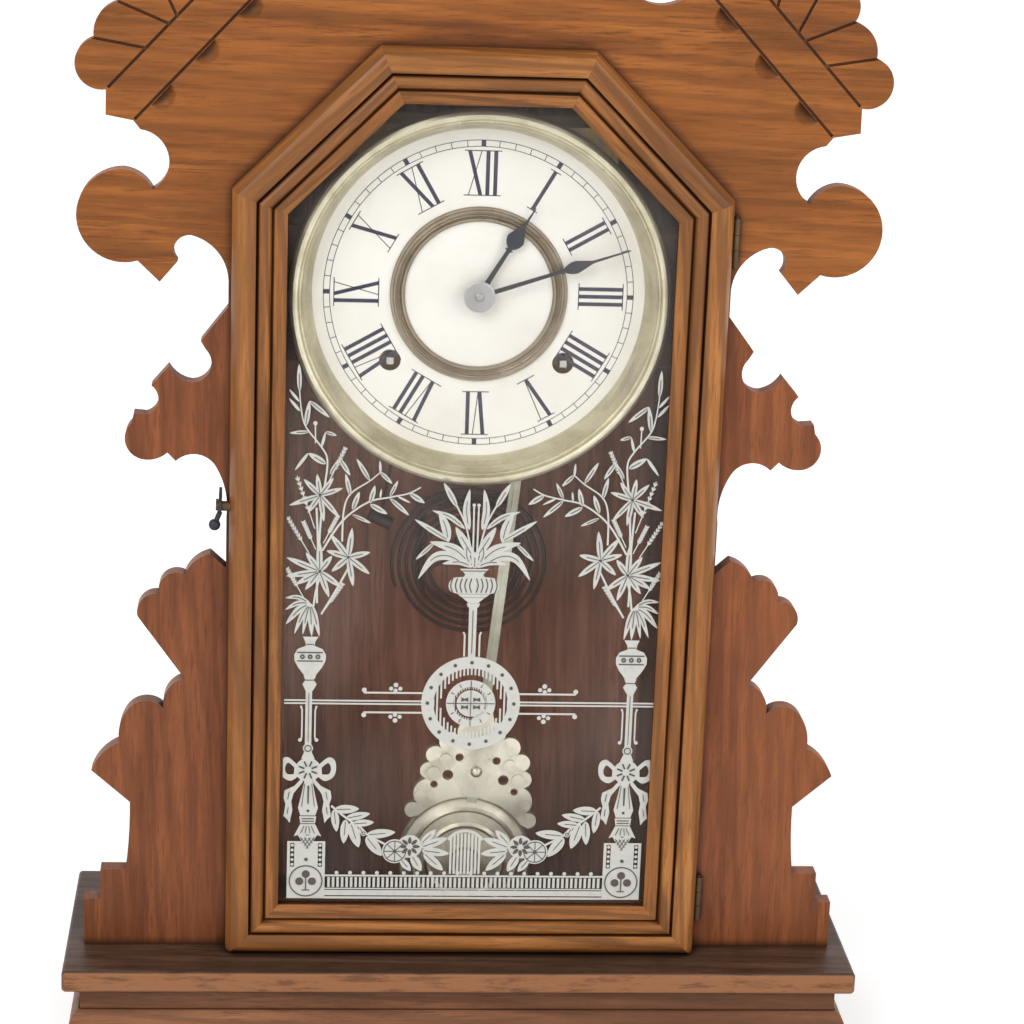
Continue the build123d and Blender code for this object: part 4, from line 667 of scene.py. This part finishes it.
def print_corner_block(white, dark):
    """The bead-edged block, its roundel and the torch that stands on it."""
    middle = 75.4
    strips = []
    for low, high in ((67.8, 69.8), (81.0, 83.0)):
        strips.append([(low, 94.2), (high, 94.2), (high, 106.3), (low, 106.3)])
    white.shape([(66.4, 78.0), (84.4, 78.0), (84.4, 107.3), (66.4, 107.3)], strips)
    for across in (68.8, 82.0):
        for row in range(5):
            white.disc((across, 95.4 + row * 2.45), 0.75, count=12)
    dark.ring((middle, 87.0), 8.0, 7.5)
    dark.disc((middle, 98.0), 0.85)
    for across, height in ((0.0, 3.5), (-3.0, -0.2), (3.0, -0.2)):
        dark.disc((middle + across, 87.0 + height), 1.9)
    dark.line([(middle, 88.5), (middle, 82.6)], 0.5)
    dark.line([(middle - 1.8, 82.3), (middle + 1.8, 82.3)], 0.4)
    white.shape([(79.3, 110.2), (70.5, 110.2), (74.9, 102.0)])
    for step in range(4):
        dark.line([(71.6 + step * 1.9, 109.4 - step * 0.2), (75.4 + step * 0.9, 103.6 + step * 1.4)], 0.25)
        dark.line([(78.2 - step * 1.9, 109.4 - step * 0.2), (74.4 - step * 0.9, 103.6 + step * 1.4)], 0.25)
    white.shape([(78.4, 116.0), (71.4, 116.0), (68.4, 109.8), (70.2, 110.4), (72.0, 109.4), (74.9, 110.8),
                 (77.8, 109.4), (79.6, 110.4), (81.4, 109.8)])
    for step in range(4):
        dark.line([(73.2 + step * 1.15, 115.0), (71.6 + step * 2.2, 111.4)], 0.28)
    white.shape([(78.9, 120.0), (70.9, 120.0), (71.4, 116.4), (78.4, 116.4)])
    dark.line([(72.0, 118.8), (77.8, 118.8)], 0.35)
    dark.line([(72.0, 117.5), (77.8, 117.5)], 0.35)
    white.shape([(76.4, 140.0), (73.4, 140.0), (71.8, 131.5), (70.2, 124.3), (71.4, 120.4), (78.4, 120.4),
                 (79.6, 124.3), (78.0, 131.5)])
    dark.line([(74.9, 135.5), (74.9, 126.5)], 0.9, taper=0.7)
    dark.disc((74.9, 122.8), 0.65)
    dark.line([(73.3, 136.5), (71.9, 125.0)], 0.25)
    dark.line([(76.6, 136.5), (77.9, 125.0)], 0.25)


def print_bow(white, dark):
    """The ribbon bow with its wheel and hanging ends."""
    middle = 75.2
    for side in (1.0, -1.0):
        def put(points):
            return [(middle + side * across, height) for across, height in points]
        outer = smooth_line(put([(5.0, 146.0), (9.5, 149.8), (12.6, 148.2), (13.2, 143.6), (11.8, 139.8),
                                 (8.0, 137.9), (4.6, 140.2)]), 4)
        inner = smooth_line(put([(6.4, 144.6), (9.4, 147.0), (10.8, 144.2), (9.8, 141.4), (6.6, 141.2)]), 4)
        white.shape(outer, [inner])
        white.shape(put([(2.6, 139.6), (6.2, 135.4), (10.8, 133.0), (11.3, 129.5), (10.3, 126.0),
                         (11.2, 120.0), (9.6, 118.6), (8.2, 116.5), (7.6, 120.0), (7.0, 123.0),
                         (7.6, 127.5), (6.6, 131.5),
                         (2.4, 137.2)]))
        dark.line(put([(8.6, 132.4), (9.3, 128.6)]), 0.3)
        dark.line(put([(9.0, 124.6), (9.4, 121.2)]), 0.3)
    white.disc((middle, 143.5), 6.0, count=32)
    for index in range(8):
        a = radians(22.5 + index * 45.0)
        c, s = cos(a), sin(a)
        dark.line([(middle + 1.8 * c, 143.5 + 1.8 * s), (middle + 4.6 * c, 143.5 + 4.6 * s)], 0.75)
    white.shape([(78.5, 149.0), (72.1, 149.0), (73.6, 152.4), (77.2, 152.4)])
    white.disc((75.4, 154.3), 2.4)
    dark.ring((75.4, 154.3), 1.7, 1.3, count=24)


def print_urn(white, dark):
    """The side column and the urn on it."""
    white.shape([(76.9, 183.2), (73.9, 183.2), (73.9, 156.0), (76.9, 156.0)])
    for across in (78.4, 72.3):
        out = 0.5 if across > 75.0 else -0.5
        white.line([(across + out, 175.0), (across, 173.5), (across, 160.0), (across + out, 158.6)], 0.75)
        white.disc((across + out * 1.6, 158.5), 0.9)
        white.disc((across + out, 175.0), 0.55)
    dark.line([(75.4, 182.0), (75.4, 157.5)], 0.22)
    white.shape([(78.0, 190.4), (72.2, 190.4), (73.2, 188.2), (71.8, 186.2), (73.6, 183.0), (77.0, 183.0),
                 (78.5, 186.2), (77.2, 188.2)])
    dark.line([(73.2, 188.3), (77.2, 188.3)], 0.3)
    urn = [(77.2, 205.1), (73.1, 205.1), (69.4, 203.6), (67.8, 200.8), (67.9, 197.8), (69.6, 194.4),
           (72.6, 190.4), (77.6, 190.4), (80.6, 194.4), (82.4, 197.8), (82.5, 200.8), (80.9, 203.6)]
    white.shape(urn)
    dark.line([(69.3, 201.9), (81.1, 201.9)], 0.5)
    dark.line([(69.3, 197.7), (81.1, 197.7)], 0.45)
    for across in (71.5, 75.1, 78.7):
        dark.ring((across, 199.8), 1.15, 0.45, count=16)
    white.shape([(78.6, 209.6), (71.4, 209.6), (72.8, 207.2), (73.2, 205.0), (77.2, 205.0), (77.5, 207.2)])
    dark.line([(73.4, 205.9), (77.0, 205.9)], 0.3)


def print_side_spray(white, dark):
    """The flowers and branches that rise from a side urn."""
    palm = (75.6, 226.0)
    for tip, width in (((87.0, 228.4), 2.2), ((87.0, 222.6), 2.4), ((86.6, 215.6), 3.2), ((82.6, 211.0), 2.6),
                       ((78.8, 210.6), 2.4), ((74.6, 209.8), 3.2), ((71.0, 209.8), 2.8)):
        add_leaf(white, dark, [palm, ((palm[0] + tip[0]) / 2, (palm[1] + tip[1]) / 2 + 1.6), tip], width)
    stems = [[(73.4, 272.0), (72.6, 258.0), (72.2, 246.0)], [(71.0, 240.0), (73.0, 232.0), (74.0, 224.5)],
             [(72.6, 238.0), (72.4, 226.0)], [(69.8, 282.2), (70.6, 276.0), (71.6, 262.0), (72.0, 250.0)],
             [(58.4, 243.0), (64.0, 232.0), (70.4, 220.6)]]
    for stem in stems:
        white.line(smooth_line(stem, 6), 0.95)
    add_flower(white, dark, (71.4, 241.5), [(71.9, 256.5), (77.9, 250.5), (86.8, 248.0), (86.8, 239.0),
                                            (82.4, 235.0), (77.9, 232.5), (66.9, 229.0), (61.4, 234.0),
                                            (65.9, 249.0)], 2.9)
    add_flower(white, dark, (58.4, 248.5), [(56.9, 262.5), (66.9, 259.5), (68.4, 251.5), (65.9, 241.5),
                                            (55.9, 234.5), (48.4, 240.5), (48.4, 251.0)], 2.9)
    add_flower(white, dark, (71.9, 278.0), [(73.4, 288.0), (65.9, 286.4), (61.6, 281.5), (62.9, 267.5),
                                            (69.9, 265.5), (77.4, 269.5), (85.9, 273.0), (79.4, 285.5)], 2.5)
    white.line(smooth_line([(70.4, 251.5), (61.4, 266.0), (49.9, 275.0), (39.9, 277.5), (31.4, 279.5),
                            (25.9, 282.5)], 5), 1.0, taper=0.6)
    white.line(smooth_line([(61.4, 256.0), (60.9, 271.0), (57.9, 279.0), (49.4, 285.1), (44.5, 289.4)], 5),
               0.9, taper=0.6)
    white.line(smooth_line([(69.9, 282.2), (68.8, 294.4), (71.6, 300.8), (78.8, 310.1), (81.0, 317.7),
                            (82.1, 328.0)], 5), 0.9, taper=0.6)
    leaves = [((56.9, 271.5), (53.9, 280.0), 2.4), ((48.9, 274.5), (46.9, 283.0), 2.4),
              ((48.9, 274.0), (40.9, 269.5), 2.6), ((56.9, 269.0), (48.4, 265.0), 1.7),
              ((44.4, 277.0), (43.9, 281.5), 1.0), ((39.9, 278.0), (36.4, 285.5), 1.8),
              ((39.9, 277.0), (30.9, 269.0), 2.2), ((30.9, 279.5), (23.9, 275.0), 2.6),
              ((36.4, 278.0), (30.4, 275.0), 1.1), ((49.4, 285.5), (55.5, 295.6), 2.2),
              ((44.5, 289.4), (39.0, 284.0), 2.0), ((44.5, 289.0), (44.9, 295.0), 1.2),
              ((58.0, 278.0), (60.4, 288.4), 2.2), ((82.0, 327.0), (82.4, 339.5), 2.2),
              ((79.0, 310.5), (77.4, 322.4), 2.4), ((77.4, 322.4), (68.2, 314.8), 2.2),
              ((82.0, 322.0), (86.6, 327.6), 1.3), ((81.6, 317.5), (86.6, 323.4), 1.4),
              ((77.1, 308.0), (86.2, 307.2), 1.8), ((71.6, 300.8), (69.9, 308.0), 1.3),
              ((69.9, 308.0), (64.8, 306.4), 1.7), ((77.6, 297.9), (83.6, 289.6), 1.5),
              ((69.6, 293.0), (77.6, 297.9), 3.0), ((67.6, 288.0), (63.3, 295.4), 1.8),
              ((63.3, 295.4), (58.3, 287.6), 2.2)]
    for start, end, width in leaves:
        add_leaf(white, dark, [start, end], width)
    white.line([(74.4, 302.6), (74.6, 311.6)], 0.6)
    white.disc((74.6, 312.0), 1.0, count=12)
    ears = [((70.0, 255.0), (63.5, 268.5)), ((76.4, 250.0), (86.6, 267.5)), ((73.4, 252.0), (79.4, 265.5)),
            ((78.8, 229.0), (86.6, 243.0)), ((70.0, 221.0), (60.4, 236.0)), ((74.0, 262.0), (82.6, 287.0)),
            ((68.2, 284.0), (60.6, 301.0))]
    for start, end in ears:
        white.line([start, end], 0.5)
        dx, dz = end[0] - start[0], end[1] - start[1]
        for step in range(1, 8):
            part = 0.28 + step * 0.09
            x, z = start[0] + dx * part, start[1] + dz * part
            for turn in (0.55, -0.55):
                c, s = cos(turn), sin(turn)
                length = 2.0 / hypot(dx, dz)
                tip = (x + (dx * c - dz * s) * length, z + (dx * s + dz * c) * length)
                white.shape(leaf_loop([(x, z), tip], 0.7))


def print_scrolls(white, dark):
    """The double line and the short beaded scrolls beside the medallion."""
    for height in (178.3, 176.8):
        white.line([(22.4, height), (86.9, height)], 0.8)
    for way in (1.0, -1.0):
        height = 177.5 + way * 4.9
        white.line([(22.2, height), (49.8, height)], 0.9)
        white.disc((49.6, height + way * 1.3), 1.15)
        for across, rise, radius in ((34.9, 3.9, 1.15), (37.1, 2.1, 1.0), (32.8, 2.1, 1.0), (35.0, 1.1, 1.0)):
            white.disc((across, height + way * rise), radius, count=14)


def print_medallion(white, dark):
    """The studded round medallion with its hatched rings."""
    centre = (0.35, 177.5)
    white.ring(centre, 23.2, 17.4, both=False, count=72)
    for index in range(16):
        a = radians(index * 22.5)
        dark.disc((centre[0] + 20.3 * cos(a), centre[1] + 20.3 * sin(a)), 0.85, both=False, count=14)
    white.ring(centre, 11.6, 8.2, both=False, count=56)
    white.disc(centre, 6.6, both=False, count=40)
    for outer, inner, pitch, width in ((17.6, 14.2, 1.75, 0.85), (8.4, 7.3, 1.1, 0.5)):
        count = int(outer / pitch)
        for index in range(-count, count + 1):
            across = index * pitch
            top = sqrt(max(0.0, outer * outer - across * across))
            low = sqrt(max(0.0, inner * inner - across * across))
            if top - low < 0.3:
                continue
            for way in (1.0, -1.0):
                x = centre[0] + across
                white.line([(x, centre[1] + way * low), (x, centre[1] + way * top)], width, both=False)
    for turn in range(12):
        a = radians(turn * 30.0)
        dark.line([(centre[0] + 9.0 * cos(a), centre[1] + 9.0 * sin(a)),
                   (centre[0] + 10.8 * cos(a), centre[1] + 10.8 * sin(a))], 0.3, both=False)
    dark.line([(centre[0], 166.2), (centre[0], 188.8)], 0.3, both=False)
    dark.line([(centre[0] - 11.2, 177.5), (centre[0] + 11.2, 177.5)], 0.3, both=False)
    for way, rise in ((1.0, 1.0), (-1.0, 1.0), (1.0, -1.0), (-1.0, -1.0)):
        x = centre[0] + way * 2.8
        z = centre[1] + rise * 1.9
        dark.shape([(x - 1.6, z + 1.1), (x, z + 0.4), (x + 1.6, z + 1.1), (x + 1.6, z - 1.0), (x, z - 0.3),
                    (x - 1.6, z - 1.0)], both=False)


def print_vase(white, dark):
    """The middle stem, the gadrooned vase and its fan of leaves."""
    white.shape([(-1.9, 225.2), (1.9, 225.2), (1.7, 200.4), (-1.7, 200.4)], both=False)
    dark.line([(0.0, 223.5), (0.0, 202.5)], 0.35, both=False)
    white.line([(4.2, 212.8), (3.5, 211.4), (3.5, 200.8)], 0.85)
    white.shape([(-3.1, 226.9), (3.1, 226.9), (2.5, 225.0), (-2.5, 225.0)], both=False)
    white.shape([(-5.2, 229.7), (5.2, 229.7), (2.2, 227.0), (-2.2, 227.0)], both=False)
    white.shape([(-7.4, 231.3), (7.4, 231.3), (5.6, 229.9), (-5.6, 229.9)], both=False)
    bowl = smooth_line([(-7.4, 231.5), (-10.6, 232.6), (-11.8, 235.4), (-10.6, 238.2), (-7.2, 239.6),
                        (7.2, 239.6), (10.6, 238.2), (11.8, 235.4), (10.6, 232.6), (7.4, 231.5)], 4)
    white.shape(bowl, both=False)
    for index in range(5):
        across = 1.1 + index * 2.2
        dark.line(smooth_line([(across, 239.0), (across + 0.9, 235.6), (across, 232.2)], 4), 0.5)
    white.shape([(-6.8, 243.7), (6.8, 243.7), (5.2, 242.3), (4.1, 240.9), (4.8, 239.8), (-4.8, 239.8),
                 (-4.1, 240.9), (-5.2, 242.3)], both=False)
    dark.line([(-5.4, 242.7), (5.4, 242.7)], 0.3, both=False)
    fan = [([(3.5, 245.0), (12.0, 249.8), (19.5, 248.3), (26.0, 238.4)], 4.4),
           ([(2.5, 246.5), (9.5, 253.0), (21.0, 256.5)], 4.8), ([(19.0, 256.0), (27.3, 247.8)], 2.0),
           ([(12.5, 256.5), (14.0, 264.0), (17.3, 271.5)], 4.2), ([(12.0, 257.0), (28.3, 267.2)], 2.6),
           ([(5.0, 263.0), (12.0, 268.6), (20.3, 271.5)], 2.6), ([(9.0, 273.5), (15.3, 284.8)], 2.8),
           ([(3.0, 262.5), (4.6, 272.0), (3.3, 282.0)], 3.4), ([(1.2, 250.0), (9.3, 263.8)], 4.0),
           ([(2.0, 245.5), (4.0, 251.0), (3.0, 258.0)], 3.0),
           ([(1.0, 244.5), (7.0, 247.0), (15.0, 246.0)], 3.0)]
    for points, width in fan:
        add_leaf(white, dark, points, width)
    white.line(smooth_line([(0.8, 247.0), (4.5, 264.0), (9.4, 274.5)], 6), 0.8)
    white.line([(0.9, 248.0), (1.1, 274.0)], 0.8)
    white.disc((1.1, 274.4), 0.8, count=12)
    add_leaf(white, dark, [(0.0, 244.0), (0.0, 252.0)], 3.4, both=False)


def print_foot_band(white, dark):
    """The fluted band at the foot of the glass, its beads and the middle panel."""
    half = 66.4
    white.shape([(-half, 89.4), (half, 89.4), (half, 90.3), (-half, 90.3)], both=False)
    for index in range(10):
        white.disc((3.2 + index * 6.4, 91.3), 0.95, count=14)
    count = int(half / 2.15)
    for index in range(-count, count + 1):
        across = index * 2.15
        white.line([(across, 83.9), (across, 89.0)], 1.2, both=False)
    white.shape([(-half, 82.9), (half, 82.9), (half, 83.5), (-half, 83.5)], both=False)
    white.shape([(-half, 79.7), (half, 79.7), (half, 82.4), (-half, 82.4)], both=False)
    white.shape([(-half, 78.0), (half, 78.0), (half, 79.1), (-half, 79.1)], both=False)
    for index in range(-4, 5):
        across = index * 1.7
        top = 112.0 - across * across * 0.035
        white.line([(across, 91.0), (across, top)], 1.0, both=False)
    white.line(smooth_line([(-8.2, 108.6), (-5.0, 111.8), (0.0, 113.2), (5.0, 111.8), (8.2, 108.6)], 5), 1.4,
               both=False)


def print_swags(white, dark):
    """The leaf swags with their wheel rosettes."""
    twig = smooth_line([(64.0, 125.5), (57.0, 119.5), (50.0, 114.5), (46.0, 110.5), (38.0, 106.0)], 5)
    white.line(twig, 1.0)
    leaves = [((62.2, 123.6), (50.8, 124.0), 4.4), ((62.6, 123.5), (61.2, 112.4), 3.8),
              ((56.8, 119.2), (45.6, 121.6), 3.8), ((57.0, 118.4), (57.8, 106.4), 4.2),
              ((53.6, 116.4), (43.6, 117.2), 3.6), ((54.6, 117.0), (50.6, 104.4), 5.2),
              ((50.4, 114.6), (48.0, 110.2), 2.2), ((46.8, 110.8), (33.4, 112.2), 4.6),
              ((47.0, 109.8), (39.6, 100.2), 5.2), ((30.4, 98.4), (25.6, 92.4), 3.6),
              ((25.2, 100.4), (20.6, 92.4), 4.4), ((21.0, 104.6), (8.6, 109.4), 4.2),
              ((20.4, 103.0), (7.6, 101.4), 4.2), ((19.6, 101.6), (10.2, 92.8), 4.4),
              ((20.8, 106.6), (14.2, 113.6), 3.6)]
    for start, end, width in leaves:
        add_leaf(white, dark, [start, end], width)
    white.disc((48.4, 111.6), 1.4, count=16)
    dark.ring((48.4, 111.6), 0.9, 0.6, count=14)
    white.disc((33.4, 102.5), 6.1, count=36)
    dark.ring((33.4, 102.5), 5.4, 5.0)
    white.disc((26.4, 105.0), 5.8, count=36)
    for index in range(8):
        a = radians(index * 45.0)
        c, s = cos(a), sin(a)
        dark.line([(33.4 + 0.9 * c, 102.5 + 0.9 * s), (33.4 + 5.0 * c, 102.5 + 5.0 * s)], 0.35)
        dark.shape(leaf_loop([(26.4 + 1.4 * c, 105.0 + 1.4 * s), (26.4 + 4.9 * c, 105.0 + 4.9 * s)], 1.7))
    dark.disc((33.4, 102.5), 0.9)


def make_glass_print(materials):
    """The white ornament printed on the door glass, and dark sheets of painted shade for the fine lines left
    clear in it, where the dim case behind would show.
    """
    parts = (print_corner_block, print_bow, print_urn, print_side_spray, print_scrolls, print_medallion,
             print_vase, print_foot_band, print_swags)
    lines = bmesh.new()
    # Dark sheets of painted shade for the clear lines in the print.
    dark = Sheet(lines, glass_line_lift)

    def white_shapes(bm):
        white = Sheet(bm, 0.0)
        for part in parts:
            part(white, dark)

    def dark_shapes(bm):
        spare = bpy.data.meshes.new("glass_print_lines_work")
        lines.to_mesh(spare)
        bm.from_mesh(spare)
        bpy.data.meshes.remove(spare)

    piece("glass_print", white_shapes, materials["print"], "door")
    piece("glass_print_lines", dark_shapes, materials["print_line"], "door")
    lines.free()


# Floor, world and lamps

floor_half_size = 6.0
floor_glow_near = 0.44
floor_glow_far = 0.62
world_strength = 0.55
lamp_aim = (0.0, 0.0, 0.3)
lamp_side = 1.4
key_power = 26.0
fill_power = 13.0


def make_stage():
    """A plain pale floor and soft studio light."""
    mesh = bpy.data.meshes.new("floor")
    bm = bmesh.new()
    corners = []
    for x, y in ((-1, -1), (1, -1), (1, 1), (-1, 1)):
        corners.append(bm.verts.new((x * floor_half_size, y * floor_half_size, 0.0)))
    bm.faces.new(corners)
    bm.to_mesh(mesh)
    bm.free()
    floor = bpy.data.objects.new("floor", mesh)
    bpy.context.scene.collection.objects.link(floor)
    g = Graph("floor_material")
    cloud = g.noise(g.coordinates(), 3.0, 2.0, 0.4)
    g.finish(g.ramp(cloud, [(0.0, 0.86), (1.0, 0.88)]), 0.85)
    path = g.tree.nodes.new("ShaderNodeLightPath")
    seen = g.maths("MAXIMUM", path.outputs["Is Camera Ray"], path.outputs["Is Transmission Ray"])
    seen = g.maths("MAXIMUM", seen, path.outputs["Is Glossy Ray"])
    spot = g.tree.nodes.new("ShaderNodeVectorMath")
    spot.operation = "LENGTH"
    g.join(g.coordinates(), spot.inputs[0])
    glow = g.ramp(spot.outputs["Value"], [(0.25, floor_glow_near), (1.0, floor_glow_far)])
    light = g.tree.nodes.new("ShaderNodeEmission")
    g.join(g.maths("MULTIPLY", seen, glow), light.inputs["Strength"])
    both = g.tree.nodes.new("ShaderNodeAddShader")
    g.join(g.shader.outputs[0], both.inputs[0])
    g.join(light.outputs[0], both.inputs[1])
    g.join(both.outputs[0], g.output.inputs[0])
    mesh.materials.append(g.material)
    world = bpy.data.worlds.new("world")
    bpy.context.scene.world = world
    world.use_nodes = True
    tree = world.node_tree
    tree.nodes.clear()
    light = tree.nodes.new("ShaderNodeBackground")
    light.inputs[0].default_value = (1.0, 1.0, 1.0, 1.0)
    light.inputs[1].default_value = world_strength
    white = tree.nodes.new("ShaderNodeBackground")
    white.inputs[0].default_value = (1.0, 1.0, 1.0, 1.0)
    white.inputs[1].default_value = 1.0
    path = tree.nodes.new("ShaderNodeLightPath")
    both = tree.nodes.new("ShaderNodeMath")
    both.operation = "MAXIMUM"
    tree.links.new(path.outputs["Is Camera Ray"], both.inputs[0])
    tree.links.new(path.outputs["Is Transmission Ray"], both.inputs[1])
    glossy = tree.nodes.new("ShaderNodeMath")
    glossy.operation = "MAXIMUM"
    tree.links.new(both.outputs[0], glossy.inputs[0])
    tree.links.new(path.outputs["Is Glossy Ray"], glossy.inputs[1])
    choose = tree.nodes.new("ShaderNodeMixShader")
    tree.links.new(glossy.outputs[0], choose.inputs[0])
    tree.links.new(light.outputs[0], choose.inputs[1])
    tree.links.new(white.outputs[0], choose.inputs[2])
    output = tree.nodes.new("ShaderNodeOutputWorld")
    tree.links.new(choose.outputs[0], output.inputs[0])


def make_lamp(name, place, power):
    """One soft area lamp."""
    data = bpy.data.lights.new(name, "AREA")
    data.shape = "RECTANGLE"
    data.size = lamp_side
    data.size_y = lamp_side
    data.energy = power
    lamp = bpy.data.objects.new(name, data)
    bpy.context.scene.collection.objects.link(lamp)
    lamp.location = place
    lamp.rotation_mode = "QUATERNION"
    lamp.rotation_quaternion = (Vector(lamp_aim) - Vector(place)).to_track_quat("-Z", "Y")


make_camera()
make_stage()
make_lamp("key", (-1.2, -1.5, 1.7), key_power)
make_lamp("fill", (1.5, -1.2, 1.1), fill_power)
materials = make_materials()
make_dial(materials)
make_glass_print(materials)
bpy.context.scene.view_settings.view_transform = "Standard"
